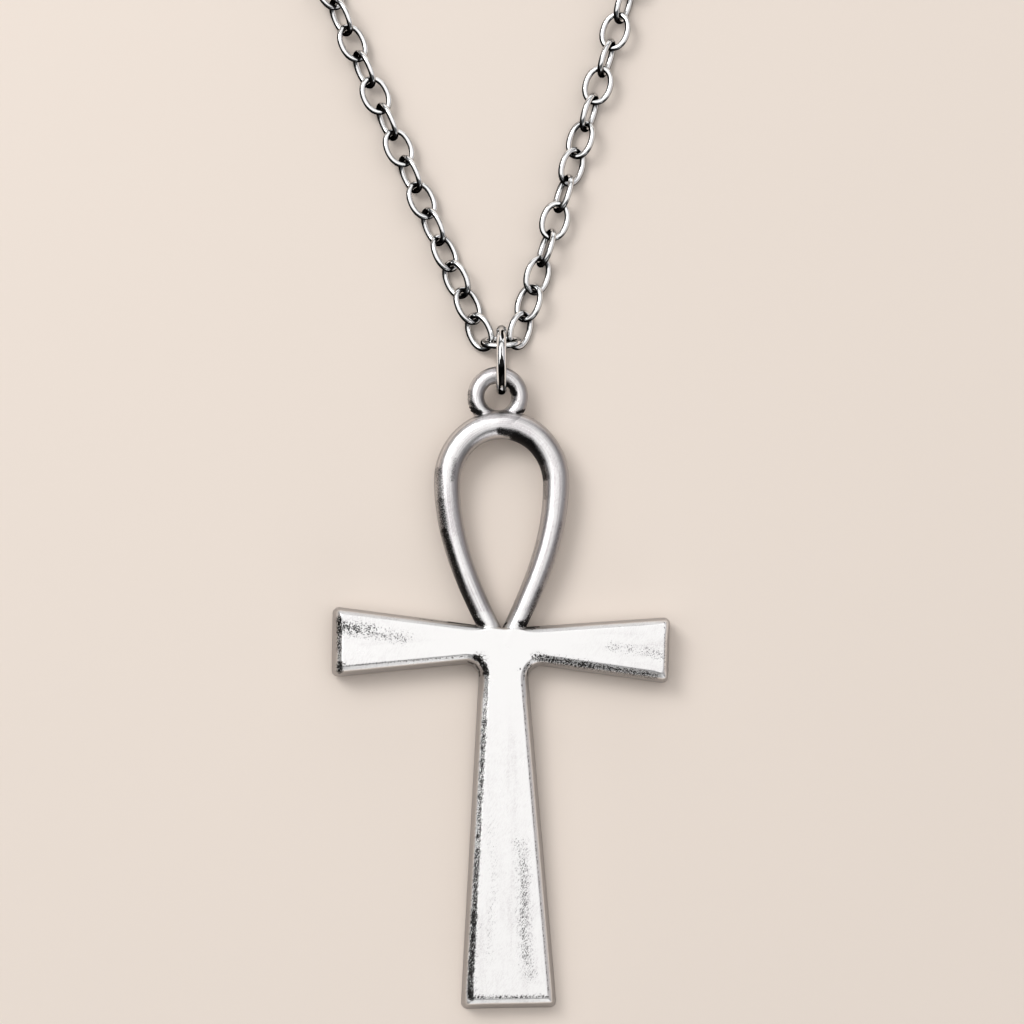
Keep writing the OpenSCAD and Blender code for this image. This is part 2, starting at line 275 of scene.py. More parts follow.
def rounded(corners, steps):
    """Points of an anticlockwise outline whose corners are rounded."""
    points = []
    for i, (at, r) in enumerate(corners):
        at = np.array(at, float)
        before = np.array(corners[i - 1][0], float)
        after = np.array(corners[(i + 1) % len(corners)][0], float)
        u, w = unit(at - before), unit(after - at)
        n0, n1 = np.array([-u[1], u[0]]), np.array([-w[1], w[0]])
        bend = u[0] * w[1] - u[1] * w[0]
        side = 1 if bend > 0 else -1
        centre = at + (n0 + n1) / (1 + n0 @ n1) * side * r
        start = math.atan2(-side * n0[1], -side * n0[0])
        swing = math.atan2(bend, u @ w)
        for k in range(steps + 1):
            a = start + swing * k / steps
            points.append(centre + r * np.array([math.cos(a), math.sin(a)]))
    return np.array(points)


def nearest(points, line):
    """Distance from each point to a polyline, and the place along it, in its points."""
    best = np.full(len(points), np.inf)
    place = np.zeros(len(points))
    for i in range(len(line) - 1):
        a, e = line[i], line[i + 1] - line[i]
        t = np.clip(((points - a) @ e) / (e @ e), 0.0, 1.0)
        d = np.hypot(points[:, 0] - a[0] - t * e[0], points[:, 1] - a[1] - t * e[1])
        closer = d < best
        best[closer] = d[closer]
        place[closer] = i + t[closer]
    return best, place


def within(points, outline):
    """Which points lie inside a closed outline."""
    x, y = points[:, 0], points[:, 1]
    inside = np.zeros(len(points), bool)
    for a, b in zip(outline, np.roll(outline, -1, axis=0)):
        crosses = (a[1] > y) != (b[1] > y)
        if a[1] != b[1]:
            inside ^= crosses & (x < (b[0] - a[0]) * (y - a[1]) / (b[1] - a[1]) + a[0])
    return inside


def inset_in(points, outline):
    """Distance of each point from a closed outline, positive inside it."""
    closed = np.vstack([outline, outline[:1]])
    distance, _ = nearest(points, closed)
    return np.where(within(points, outline), distance, -distance)


# Where the rim of the face differs: points that each place follows, its reach in
# millimetres, and what the width of the side wall and of the bevel are times there
RIMS = (
    ("shaft left", ((-2.0, -6), (-4.3, -35)), 0.9, 0.8, 1.3),
    ("shaft right", ((2.4, -6), (4.6, -35)), 0.9, 1.2, 0.85),
    ("arms above", ((-16, 3), (-3, 1.4), (3, 1.4), (16, 1.8)), 1.0, 0.8, 0.8),
    ("left arm below", ((-16, -2.9), (-4, -1.8)), 0.9, 1.0, 1.0),
    ("left arm end", ((-16.8, 2.4), (-16.9, -2.0)), 0.9, 1.15, 1.1),
    ("right arm below", ((4, -1.8), (16, -4.0)), 0.9, 0.85, 1.5),
    ("right arm end", ((16.7, 1.2), (16.4, -2.6)), 0.9, 1.0, 0.45),
    ("foot", ((-4.2, -36), (4.2, -36)), 0.8, 1.25, 1.1),
    ("teardrop foot", ((-0.8, 1.7), (0.8, 1.7)), 1.3, 0.3, 0.25),
)


class Casting:
    """The ankh as heights over its back, worked out from its sizes in millimetres."""

    CORNER_STEPS = 10
    LEG_STEPS = 60
    # Share of a leg's steps that lies below the loop's widest point
    LEG_SHARE = 0.5
    # Over how much height the meeting lines of the loop and the eye are rounded
    LOOP_BLEND = 0.18
    EYE_BLEND = 0.06
    # How steeply a piece falls away outside its own outline
    FALL = 8.0
    # Inset, as a share of the side wall's, over which a bend of the rim is rounded
    EDGE_ROUND = 0.16
    # How far in the rim's profile reaches, counted in such shares, and in how many steps
    PROFILE_END = 4
    PROFILE_STEPS = 1600

    def __init__(self, sizes):
        self.sizes = s = sizes
        self.cross = rounded(cross_corners(s), self.CORNER_STEPS)
        right = [self.leg(i / self.LEG_STEPS) for i in range(self.LEG_STEPS + 1)]
        left = [(-x, y) for x, y in right[-2::-1]]
        self.line = np.array([turned(p, -s.loop_lean) for p in right + left])
        self.line[:, 0] += s.loop_shift
        self.eye_r = (s.eye_d + s.eye_hole_d) / 4
        self.eye_wire = (s.eye_d - s.eye_hole_d) / 2
        self.eye_y = s.loop_h + s.loop_top_w / 2 - s.eye_sink + s.eye_d / 2
        self.eye_top_y = self.eye_y + self.eye_r
        self.profile = self.rounded_profile((0, 1, 2), (0, s.side_h, s.cross_t))

    def leg(self, part):
        """Point of the loop's right-hand centreline, from its root to its top."""
        s = self.sizes
        if part < self.LEG_SHARE:
            y = s.loop_waist_y * part / self.LEG_SHARE
            a = math.pi / 2 * (s.loop_waist_y - y) / (s.loop_waist_y + s.loop_root)
            return s.loop_half_w * math.cos(a), y
        a = math.pi / 2 * (part - self.LEG_SHARE) / (1 - self.LEG_SHARE)
        rise = s.loop_h - s.loop_waist_y
        return s.loop_half_w * math.cos(a), s.loop_waist_y + rise * math.sin(a)

    def rounded_profile(self, insets, heights):
        """Heights by inset with the bends between straight stretches rounded."""
        fine = np.linspace(insets[0], self.PROFILE_END, self.PROFILE_STEPS + 1)
        height = np.interp(fine, insets, heights)
        step = fine[1] - fine[0]
        width = int(self.EDGE_ROUND / step)
        kernel = np.hanning(2 * width + 1)
        kernel /= kernel.sum()
        padded = np.concatenate([
            height[0] - (height[1] - height[0]) * np.arange(width, 0, -1),
            height, np.full(width, height[-1])])
        return fine, np.convolve(padded, kernel, mode="valid")

    def band(self, points):
        """Distance to the loop's centreline, half the band's width there and the place along."""
        s = self.sizes
        distance, place = nearest(points, self.line)
        y = np.interp(place, np.arange(len(self.line)), self.line[:, 1])
        half = (s.loop_foot_w + (s.loop_top_w - s.loop_foot_w) * y / s.loop_h) / 2
        return distance, half, place

    def from_eye(self, points):
        """Each point's place and its distance from the middle of the eye."""
        away = points - (self.sizes.loop_shift, self.eye_y)
        return away, np.hypot(away[:, 0], away[:, 1])

    def insets(self, points):
        """Inset from the outline of the cross, of the loop and of the eye."""
        distance, half, _ = self.band(points)
        _, rho = self.from_eye(points)
        return (inset_in(points, self.cross), half - distance,
                self.eye_wire / 2 - np.abs(rho - self.eye_r))

    def inset(self, points):
        """Inset from the outline of the whole casting."""
        return np.max(self.insets(points), axis=0)

    def rim(self, points):
        """Width of the side wall and of the bevel at each point."""
        wall = np.full(len(points), self.sizes.side_draft)
        bevel = np.full(len(points), self.sizes.bevel_w)
        for _, line, reach, wall_times, bevel_times in RIMS:
            distance, _ = nearest(points, np.array(line, float))
            near = np.exp(-(distance / reach) ** 2)
            wall *= wall_times ** near
            bevel *= bevel_times ** near
        return wall, bevel

    def cross_height(self, points, inset):
        """Height of the cross alone over its back."""
        wall, bevel = self.rim(points)
        even = np.where(inset < wall, inset / wall, 1 + (inset - wall) / bevel)
        fine, height = self.profile
        return np.where(inset > 0, np.interp(even, fine, height), inset * self.FALL)

    def eye_rise(self, inset):
        """How far the eye's round wire stands off its middle height."""
        r = self.eye_wire / 2
        return np.sqrt(np.maximum(r * r - (r - np.maximum(inset, 0)) ** 2, 0))

    def front(self, points):
        """Height of the front of the casting over its back."""
        s = self.sizes
        cross, loop, eye = self.insets(points)
        _, half, _ = self.band(points)
        z_cross = self.cross_height(points, cross)
        n = s.loop_fullness
        t = 1 - np.clip(loop / half, 0, 1)
        dome = s.loop_side_h + (s.loop_t - s.loop_side_h) * (1 - t ** n) ** (1 / n)
        z_loop = np.where(loop > 0, dome, s.loop_side_h + loop * self.FALL)
        z_eye = np.where(eye > 0, s.eye_z + self.eye_rise(eye), s.eye_z + eye * self.FALL)
        return smooth_max(smooth_max(z_cross, z_loop, self.LOOP_BLEND), z_eye, self.EYE_BLEND)

    def back(self, points):
        """Height of the back: flat, with the eye's round underside above it."""
        cross, loop, eye = self.insets(points)
        under = self.sizes.eye_z - self.eye_rise(eye)
        flat = np.maximum(0, -np.maximum(cross, loop)) * self.FALL
        return np.where(eye > 0, np.minimum(under, flat), 0.0)


def contour(field, xs, ys, level):
    """Crossing points of a grid's level line, and the pairs of them to join."""
    f = field - level
    f = np.where(f == 0, 1e-9, f)
    nx, ny = len(xs), len(ys)
    index_h = np.full((nx - 1, ny), -1)
    index_v = np.full((nx, ny - 1), -1)
    i, j = np.nonzero(f[:-1] * f[1:] < 0)
    t = f[i, j] / (f[i, j] - f[i + 1, j])
    index_h[i, j] = np.arange(len(i))
    points = [np.column_stack([xs[i] + t * (xs[1] - xs[0]), ys[j]])]
    k, m = np.nonzero(f[:, :-1] * f[:, 1:] < 0)
    t = f[k, m] / (f[k, m] - f[k, m + 1])
    index_v[k, m] = len(i) + np.arange(len(k))
    points.append(np.column_stack([xs[k], ys[m] + t * (ys[1] - ys[0])]))
    sides = np.stack([index_h[:, :-1], index_v[1:], index_h[:, 1:], index_v[:-1]], axis=-1)
    crossed = sides.reshape(-1, 4)
    pairs = []
    for row in crossed[(crossed >= 0).sum(axis=1) >= 2]:
        found = row[row >= 0]
        pairs.append((found[0], found[1]))
        if len(found) == 4:
            pairs.append((found[2], found[3]))
    return np.vstack(points), pairs


# Insets at which rows of points follow the outline, in millimetres
ROWS = (0.0, 0.03, 0.08, 0.14, 0.21, 0.29, 0.36, 0.42, 0.48, 0.55, 0.63, 0.72, 0.8, 0.88, 0.96,
        1.04, 1.12)
# Steps of the grid inside them, on the curved loop and eye and on the flat face
FINE_STEP = 0.15
FACE_STEP = 0.45
# Room round the casting for the grid, and the nudge by which a slope is measured
MARGIN = 2
NUDGE = 1e-3
# Slope squared below which a point is moved as if it were this steep
LEAST_SLOPE = 0.25
# How close two points are one, on the casting in millimetres and on the clasp in metres
CASTING_MERGE = 0.002
CLASP_MERGE = 1e-7


def casting_points(casting):
    """Points to mesh the casting with: rows along its outline, then a grid inside."""
    s = casting.sizes
    low = np.array([-s.arm_left_l - MARGIN, -s.shaft_l - MARGIN])
    high = np.array([s.arm_right_l + MARGIN, casting.eye_top_y + MARGIN])
    xs = np.arange(low[0], high[0], s.grid)
    ys = np.arange(low[1], high[1], s.grid)
    gx, gy = np.meshgrid(xs, ys, indexing="ij")
    flat = np.column_stack([gx.ravel(), gy.ravel()])
    field = casting.inset(flat).reshape(gx.shape)
    points, edges, total = [], [], 0
    for level in ROWS:
        found, pairs = contour(field, xs, ys, level)
        found = pulled(casting, found, level)
        if level == 0.0:
            edges += [(a + total, b + total) for a, b in pairs]
        points.append(found)
        total += len(found)
    for step, fine in ((FINE_STEP, True), (FACE_STEP, False)):
        gx, gy = np.meshgrid(np.arange(low[0], high[0], step),
                             np.arange(low[1], high[1], step), indexing="ij")
        gx[:, ::2] += step / 2
        grid = np.column_stack([gx.ravel(), gy.ravel()])
        cross, loop, eye = casting.insets(grid)
        inset = np.max((cross, loop, eye), axis=0)
        curved = np.maximum(loop, eye) > -2 * step
        keep = (inset > ROWS[-1] + step / 2) & (curved == fine)
        points.append(grid[keep])
    return np.vstack(points), edges


def pulled(casting, points, level):
    """Points moved onto the line of that inset, from close by."""
    sideways, upwards = np.array([NUDGE, 0]), np.array([0, NUDGE])
    for _ in range(2):
        here = casting.inset(points)
        slope = np.column_stack([
            casting.inset(points + way) - casting.inset(points - way)
            for way in (sideways, upwards)]) / (2 * NUDGE)
        size = np.maximum((slope ** 2).sum(axis=1), LEAST_SLOPE)
        move = slope * ((level - here) / size)[:, None]
        reach = np.linalg.norm(move, axis=1, keepdims=True)
        points = points + move * np.minimum(1, casting.sizes.grid / 2 / np.maximum(reach, 1e-9))
    return points


def triangulated(points, edges, casting):
    """Triangles over the casting's outline, anticlockwise."""
    result = delaunay_2d_cdt([Vector(p) for p in points], edges, [], 0, 1e-6)
    verts = np.array([tuple(v) for v in result[0]])
    faces = np.array(result[2])
    middles = verts[faces].mean(axis=1)
    faces = faces[casting.inset(middles) > 0]
    a, b, c = verts[faces[:, 0]], verts[faces[:, 1]], verts[faces[:, 2]]
    area = (b[:, 0] - a[:, 0]) * (c[:, 1] - a[:, 1]) - (b[:, 1] - a[:, 1]) * (c[:, 0] - a[:, 0])
    faces[area < 0] = faces[area < 0][:, ::-1]
    return verts, faces


def open_edges(faces):
    """Edges that only one triangle has, in that triangle's own direction."""
    directed = np.vstack([faces[:, [0, 1]], faces[:, [1, 2]], faces[:, [2, 0]]])
    have = {(a, b) for a, b in directed.tolist()}
    return [(a, b) for a, b in have if (b, a) not in have]


def casting_mesh(casting):
    """Vertices and faces of the whole casting in its own millimetres."""
    points, edges = casting_points(casting)
    flat, faces = triangulated(points, edges, casting)
    top = np.column_stack([flat, casting.front(flat)])
    bottom = np.column_stack([flat, casting.back(flat)])
    n = len(flat)
    sides = []
    for a, b in open_edges(faces):
        sides += [(a, n + a, n + b), (a, n + b, b)]
    return np.vstack([top, bottom]), np.vstack([faces, faces[:, ::-1] + n, np.array(sides)])


def pendant_place(s, ring, casting):
    """Matrix from the pendant's own millimetres to the frame's metres."""
    low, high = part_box("jump_ring")
    middle = (low + high) / 2 / MM
    ring_r = (high.z - low.z) / MM / 2 - ring.wire / 2
    seat_r = ring_r - ring.wire / 2 - casting.eye_wire / 2 - ring.clear
    rise = middle.z - math.sqrt(seat_r ** 2 - ring.seat ** 2)
    lever = casting.eye_top_y + s.shaft_l
    tilt = math.asin(rise / math.hypot(lever, s.eye_z)) - math.atan(s.eye_z / lever)
    return (Matrix.Scale(MM, 4)
            @ Matrix.Translation((0, middle.y, rise))
            @ Matrix.Rotation(-s.pendant_turn, 4, "Z")
            @ Matrix.Translation((0, -ring.seat, 0))
            @ Matrix.Rotation(tilt, 4, "X")
            @ Matrix.Translation((0, -casting.eye_top_y, -s.eye_z)))


def new_object(name, vertices, faces, material):
    """A smooth-shaded object in the scene, with one material."""
    mesh = bpy.data.meshes.new(name)
    mesh.from_pydata([tuple(v) for v in vertices], [], [tuple(f) for f in faces])
    mesh.materials.append(material)
    mesh.shade_smooth()
    piece = bpy.data.objects.new(name, mesh)
    bpy.context.scene.collection.objects.link(piece)
    return piece


def merged(piece, distance):
    """Joins the piece's doubled vertices and drops faces with no area."""
    body = bmesh.new()
    body.from_mesh(piece.data)
    bmesh.ops.remove_doubles(body, verts=body.verts, dist=distance)
    bmesh.ops.dissolve_degenerate(body, edges=body.edges, dist=distance / 10)
    body.to_mesh(piece.data)
    body.free()


def marked(piece, name, values):
    """Gives the piece's points an attribute with one value each."""
    made = piece.data.attributes.new(name, "FLOAT", "POINT")
    made.data.foreach_set("value", np.asarray(values, np.float32))


# Direction that the painted lit side of a link's wire faces: the wire is painted bright on that side and
# painted dark, as shade and dark reflections, on the other
PAINTED_LIGHT_SIDE = (0.25, 0.45, 1.0)


def normals(piece):
    """Normals of the piece's points, one per row."""
    mesh = piece.data
    found = np.zeros(3 * len(mesh.vertices), np.float32)
    mesh.vertex_normals.foreach_get("vector", found)
    return found.reshape(-1, 3)


def declared(piece, slot, *nodes):
    """Hangs the finished piece on the root body and hides the CAD parts that it stands for. The slot is
    not used.
    """
    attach(piece, "root")
    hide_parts(*nodes)


def new_node(tree, kind, settings, sockets):
    """Adds a node: its settings first, then the values or links of its sockets."""
    made = tree.nodes.new(kind)
    for name, value in settings.items():
        setattr(made, name, value)
    for key, value in sockets.items():
        if isinstance(value, bpy.types.NodeSocket):
            tree.links.new(value, made.inputs[key])
        else:
            made.inputs[key].default_value = value
    return made.outputs


class Wire:
    """A socket of a shader that takes part in Python arithmetic."""

    def __init__(self, paint, socket):
        self.paint = paint
        self.socket = socket

    def math(self, operation, *values):
        """Adds a Math node on numbers and sockets."""
        return self.paint.node("Math", {"operation": operation}, dict(enumerate(values)))

    def __add__(self, other):
        return self.math("ADD", self, other)

    __radd__ = __add__

    def __sub__(self, other):
        return self.math("SUBTRACT", self, other)

    def __rsub__(self, other):
        return self.math("SUBTRACT", other, self)

    def __mul__(self, other):
        return self.math("MULTIPLY", self, other)

    __rmul__ = __mul__

    def step(self, low, high):
        """0 below low, 1 above high, and smooth between."""
        return self.paint.node("MapRange", {"interpolation_type": "SMOOTHSTEP"},
                               {"Value": self, "From Min": low, "From Max": high})


class Paint:
    """One material under construction."""

    def __init__(self, name):
        self.material = bpy.data.materials.new(name)
        self.material.use_nodes = True
        self.tree = self.material.node_tree
        self.tree.nodes.clear()

    def node(self, kind, settings, sockets, output=0):
        """Adds a shader node and gives back one of its outputs."""
        plain = {key: value.socket if isinstance(value, Wire) else value
                 for key, value in sockets.items()}
        return Wire(self, new_node(self.tree, "ShaderNode" + kind, settings, plain)[output])

    def attribute(self, name, output="Fac"):
        """What the mesh carries under that name."""
        return self.node("Attribute", {"attribute_name": name}, {}, output)

    def place(self):
        """Where the surface is, in metres."""
        return self.node("TexCoord", {}, {}, "Object")

    def stretched(self, vector, scale):
        """A vector times another, part by part."""
        return self.node("VectorMath", {"operation": "MULTIPLY"}, {0: vector, 1: scale})

    def turned(self, vector, by):
        """A vector turned about z."""
        return self.node("VectorRotate", {"rotation_type": "Z_AXIS"},
                         {"Vector": vector, "Angle": by})

    def noise(self, vector, scale, detail=2.0, roughness=0.5):
        """Noise with that many cells in each unit of the vector."""
        return self.node("TexNoise", {}, {
            "Vector": vector, "Scale": scale, "Detail": detail, "Roughness": roughness})

    def blend(self, factor, a, b):
        """Colour a where factor is 0 and b where it is 1."""
        return self.node("Mix", {"data_type": "RGBA"}, {0: factor, 6: a, 7: b}, 2)

    def bump(self, height, strength, distance):
        """Normals of a surface that the height raises by up to distance."""
        return self.node("Bump", {}, {
            "Height": height, "Strength": strength, "Distance": distance})

    def finish(self, sockets):
        """Ends the material with its one surface shader."""
        shader = self.node("BsdfPrincipled", {}, sockets)
        new_node(self.tree, "ShaderNodeOutputMaterial", {}, {"Surface": shader.socket})
        return self.material


def rgba(value):
    """A colour with full opacity."""
    return (*value, 1.0)


# Cells in a metre of the silver's noises: specks, finer specks, dots and soft clouds,
# and of the steel's and the floor's
SPECK, FINE, DOT, CLOUD = 8200.0, 16000.0, 5600.0, 800.0
STEEL_CLOUD, STEEL_WAVE = 900.0, 5000.0
FLOOR_CLOUD = 14.0
# Turn of the hatching, and its cells in a metre each way
HATCH_TURN = 0.52
HATCH = (11000.0, 2300.0, 4000.0)
# Cells in a metre along and across the grain: broad streaks, and thin brush lines
DRIFT = (90.0, 900.0, 1.0)
BRUSH = (140.0, 5500.0, 1.0)
# How deep the pits of the silver and the waves of the steel go, in metres
SILVER_PITS = 0.00005
STEEL_WAVES = 0.00002
# The floor's darker tone, as a share of its colour
FLOOR_SHADE = 0.97


def antique_silver(finish):
    """Brushed silver casting, with dark patina in its hollows and painted shade and dark reflections
    where a point attribute puts them.
    """
    paint = Paint("cast_silver")
    place = paint.place()
    grain = paint.attribute("grain", "Vector")
    patina_and_shade = paint.attribute("patina_and_shade")
    side = paint.attribute("side")
    wear = paint.attribute("wear")
    flank_shade = paint.attribute("flank_shade")
    hatched = paint.attribute("hatched")
    soft = paint.attribute("soft")
    speck = paint.noise(place, SPECK, 2.0, 0.7)
    fine = paint.noise(place, FINE, 1.0, 0.5)
    hatch = paint.noise(paint.stretched(paint.turned(place, HATCH_TURN), HATCH), 1.0, 1.0)
    dots = paint.noise(place, DOT, 1.0, 0.5)
    # Patina and painted shade: dark places with a ragged edge, hatched on the shaft and softer on the
    # loop
    coarse = hatched * (hatch - 0.5) + (1 - hatched) * (1.5 - 0.9 * soft) * (dots - 0.5)
    rough_edge = 1.5 * (speck - 0.5) + coarse + 0.8 * (fine - 0.5)
    dark = ((patina_and_shade + rough_edge * (1 - 0.35 * soft)).step(0.33 - 0.1 * soft, 0.7 + 0.28 * soft)
            * patina_and_shade.step(0.02, 0.18))
    patina_and_shade_mix = paint.blend(patina_and_shade.step(0.26, 0.48), rgba(finish.etched_and_shade_grey), rgba(finish.patina_and_shade_colour))
    # Wear: flecks, broad streaks and thin brush lines, where the polish has gone
    cloud = paint.noise(place, CLOUD, 3.0, 0.6)
    drift = paint.noise(paint.stretched(grain, DRIFT), 1.0, 3.0, 0.6)
    brushing = paint.noise(paint.stretched(grain, BRUSH), 1.0, 2.0, 0.6)
    flecks = hatch.step(0.44, 0.62) * (0.35 + 0.65 * cloud.step(0.4, 0.6))
    worn = (wear * (0.24 * flecks + 0.5 * drift.step(0.48, 0.7) * speck.step(0.4, 0.6))
            + wear.step(0.9, 1.0) * (0.14 + 0.5 * brushing.step(0.45, 0.62)))
    # Colours, from the polished face to its worn places, the painted shade on right-facing flanks and on
    # the walls, and the patina with its painted shade
    silver = paint.blend(worn, rgba(finish.silver), rgba(finish.worn))
    # Painted shade on the flanks that face right
    silver = paint.blend(flank_shade + 0.35 * (brushing - 0.5) * flank_shade, silver, rgba(finish.flank_shade))
    # Painted shade on the side walls and back
    silver = paint.blend(side, silver, rgba(finish.side))
    colour_out = paint.blend(dark * (0.99 + 0.2 * (fine - 0.5)), silver, patina_and_shade_mix)
    rough = 0.3 + 0.12 * (drift - 0.5) + 0.1 * (cloud - 0.5) + 0.2 * dark + 0.06 * side
    height = (speck * 0.5 + fine * 0.3 + hatch * 0.2) * (0.12 + 0.88 * wear) - dark * 0.4
    return paint.finish({
        "Base Color": colour_out, "Metallic": 1.0, "Roughness": rough,
        "Specular Tint": rgba(finish.silver_rim),
        "Normal": paint.bump(height, 0.7, SILVER_PITS)})


def polished_steel(finish):
    """Bright polished wire, painted dark as shade and dark reflections where the tone attribute is low.
    """
    paint = Paint("drawn_steel")
    place = paint.place()
    tone = paint.attribute("tone")
    cloud = paint.noise(place, STEEL_CLOUD)
    wave = paint.noise(place, STEEL_WAVE)
    # Share of the wire that is painted lit rather than shaded
    bright = (tone + 0.22 * (cloud - 0.5)).step(0.47, 0.63)
    return paint.finish({
        "Base Color": paint.blend(bright, rgba(finish.steel_painted_shade), rgba(finish.steel)),
        "Metallic": 1.0, "Roughness": 0.07 + 0.1 * cloud,
        "Specular Tint": rgba(finish.steel_rim),
        "Normal": paint.bump(wave, 0.12, STEEL_WAVES)})


def pale_floor(finish):
    """Plain pale floor with a barely uneven tone."""
    paint = Paint("pale_floor")
    cloud = paint.noise(paint.place(), FLOOR_CLOUD)
    darker = rgba([FLOOR_SHADE * c for c in finish.floor])
    return paint.finish({
        "Base Color": paint.blend(cloud, rgba(finish.floor), darker), "Roughness": 0.85})


def material(name, maker, *values):
    """The material of that name, made now if it isn't there."""
    found = bpy.data.materials.get(name)
    return found if found else maker(*values)


# Dark places of the casting, in its own millimetres: patina in its hollows, scratches, and painted
# shade and dark reflections on bevels, flanks and edges that face away from the light. For each,
# the points that it follows, its half width and its strength, where 0.5 is speckled and 1 is solid
PATINA_AND_SHADE_PLACES = (
    ("shaft left bevel", ((-1.8, -3.4), (-2.1, -7.6)), 0.24, 0.5),
    ("shaft left bevel", ((-2.1, -7.6), (-2.99, -20.5)), 0.28, 0.6),
    ("shaft left bevel", ((-2.99, -20.5), (-3.42, -26.6)), 0.3, 0.68),
    ("shaft left bevel", ((-3.42, -26.6), (-3.9, -33.9), (-3.96, -35.0)), 0.32, 0.8),
    ("shaft left corner", ((-3.95, -34.6), (-3.85, -35.15)), 0.26, 1.0),
    ("shaft right edge", ((1.7, -4.0), (3.85, -34.9)), 0.07, 0.44),
    ("foot line", ((-3.9, -35.2), (3.8, -35.17)), 0.09, 0.6),
    ("shaft speckle", ((1.4, -20), (1.6, -24), (1.45, -27.9), (1.75, -31), (2.0, -33)), 0.8, 0.33),
    ("shaft speckle", ((1.45, -21.5), (1.6, -24.5), (1.5, -28), (1.7, -31.5)), 0.42, 0.43),
    ("shaft grey", ((-1.6, -17.5), (-1.4, -23.5), (-2.0, -31.4)), 0.5, 0.19),
    ("left arm end", ((-16.42, 2.7), (-16.4, 1.3)), 0.28, 0.8),
    ("left arm end", ((-16.42, 1.3), (-16.47, -0.4)), 0.24, 0.66),
    ("left arm end", ((-16.47, -0.4), (-16.47, -1.8)), 0.18, 0.54),
    ("left arm low corner", ((-16.4, -1.8), (-16.42, -2.4)), 0.3, 0.9),
    ("left arm low corner", ((-16.3, -1.85), (-15.9, -1.75)), 0.1, 0.7),
    ("left arm speckle", ((-15.9, 1.85), (-13.2, 1.4)), 0.68, 0.5),
    ("left arm speckle", ((-13.2, 1.35), (-9.8, 0.7)), 0.6, 0.37),
    ("left arm low line", ((-15.7, -2.0), (-10.4, -1.62), (-2.9, -1.15)), 0.08, 0.42),
    ("left arm top line", ((-8.4, 2.65), (-5.4, 2.2)), 0.06, 0.5),
    ("left arm top line", ((-5.4, 2.3), (-2.9, 2.0)), 0.14, 0.8),
    ("left crotch", ((-3.2, 3.1), (-2.6, 2.35), (-2.2, 1.95)), 0.28, 1.0),
    ("left fillet", ((-2.9, -1.3), (-2.4, -1.6), (-1.98, -2.3), (-1.85, -3.0)), 0.28, 0.95),
    ("left fillet outline", ((-3.6, -1.72), (-2.85, -2.0), (-2.45, -2.6), (-2.4, -3.2)), 0.06, 0.8),
    ("right crotch", ((1.8, 1.95), (2.9, 1.75)), 0.32, 1.0),
    ("right crotch", ((2.2, 2.0), (2.5, 2.6)), 0.2, 0.9),
    ("right crotch tail", ((2.5, 1.7), (3.6, 1.68)), 0.1, 0.8),
    ("right fillet", ((1.9, -3.6), (2.0, -2.6), (2.5, -1.95)), 0.1, 0.6),
    ("right fillet outline", ((2.3, -3.2), (2.4, -2.6), (2.75, -2.15)), 0.08, 0.7),
    ("right arm low bevel", ((3.1, -1.4), (5.6, -1.87), (8.6, -2.34)), 0.38, 0.62),
    ("right arm low bevel", ((8.6, -2.36), (11.6, -2.86), (15.1, -3.44)), 0.36, 0.56),
    ("right arm end", ((16.05, 1.9), (16.03, -2.8)), 0.05, 0.45),
    ("right arm streaks", ((10.6, -0.5), (13.6, -0.8), (15.8, -1.5)), 0.48, 0.3),
    ("left leg outside", ((-6.25, 17.4), (-6.1, 14.4)), 0.42, 0.6),
    ("left leg outside", ((-6.1, 14.4), (-5.75, 11.4)), 0.4, 0.8),
    ("left leg outside", ((-5.8, 11.4), (-4.9, 8.2), (-3.85, 5.0), (-3.0, 3.1)), 0.33, 1.0),
    ("left leg inside", ((-4.6, 18.4), (-4.95, 16.4)), 0.27, 0.56),
    ("right leg outside", ((5.9, 12.0), (5.0, 8.3), (3.8, 5.4)), 0.22, 0.48),
    ("right leg outside", ((3.7, 5.4), (2.6, 2.7)), 0.3, 0.64),
    ("right leg inside", ((3.6, 10.3), (2.6, 7.0), (1.0, 2.7)), 0.05, 0.55),
    ("loop inside", ((-0.1, 21.25), (1.6, 20.85)), 0.34, 0.98),
    ("loop inside", ((1.4, 20.75), (2.85, 19.95), (3.9, 18.1)), 0.47, 1.15),
    ("loop inside", ((3.9, 18.1), (4.35, 16.6)), 0.4, 0.9),
    ("loop inside", ((4.35, 16.4), (4.4, 14.5)), 0.2, 0.55),
    ("eye inside", ((0.7, 26.0), (1.25, 25.5), (1.5, 25.0)), 0.27, 1.1),
    ("eye inside", ((0.5, 26.15), (1.3, 25.6), (1.55, 24.3)), 0.4, 0.6),
    ("eye outside", ((-2.9, 24.2), (-2.3, 23.3)), 0.22, 0.9),
    ("eye outside", ((-3.1, 25.2), (-2.9, 24.0), (-2.3, 23.2)), 0.38, 0.6),
    ("eye seam", ((-2.9, 23.55), (-2.0, 23.1)), 0.26, 1.2),
    ("eye seam", ((1.7, 23.1), (2.7, 23.4)), 0.16, 1.0),
    ("eye seam", ((-1.9, 23.15), (0.1, 23.42), (2.1, 23.2)), 0.05, 0.5),
    ("teardrop foot", ((0.0, 1.75), (0.3, 2.1)), 0.08, 0.9),
    ("dot", ((1.56, -2.6), (1.57, -2.6)), 0.07, 1.0),
    ("dot", ((-0.5, -31.6), (-0.49, -31.6)), 0.07, 1.0),
)


# Shares of a dark place's half width between which it fades, for patina and painted shade alike
PATINA_AND_SHADE_FADE = (0.3, 1.9)
# Where the painted shade on a right-facing flank begins and where it is greyest, as shares of
# half the band's width, and how grey it gets
FLANK_FADE = (0.0, 0.75)
FLANK_SHARE = 0.85
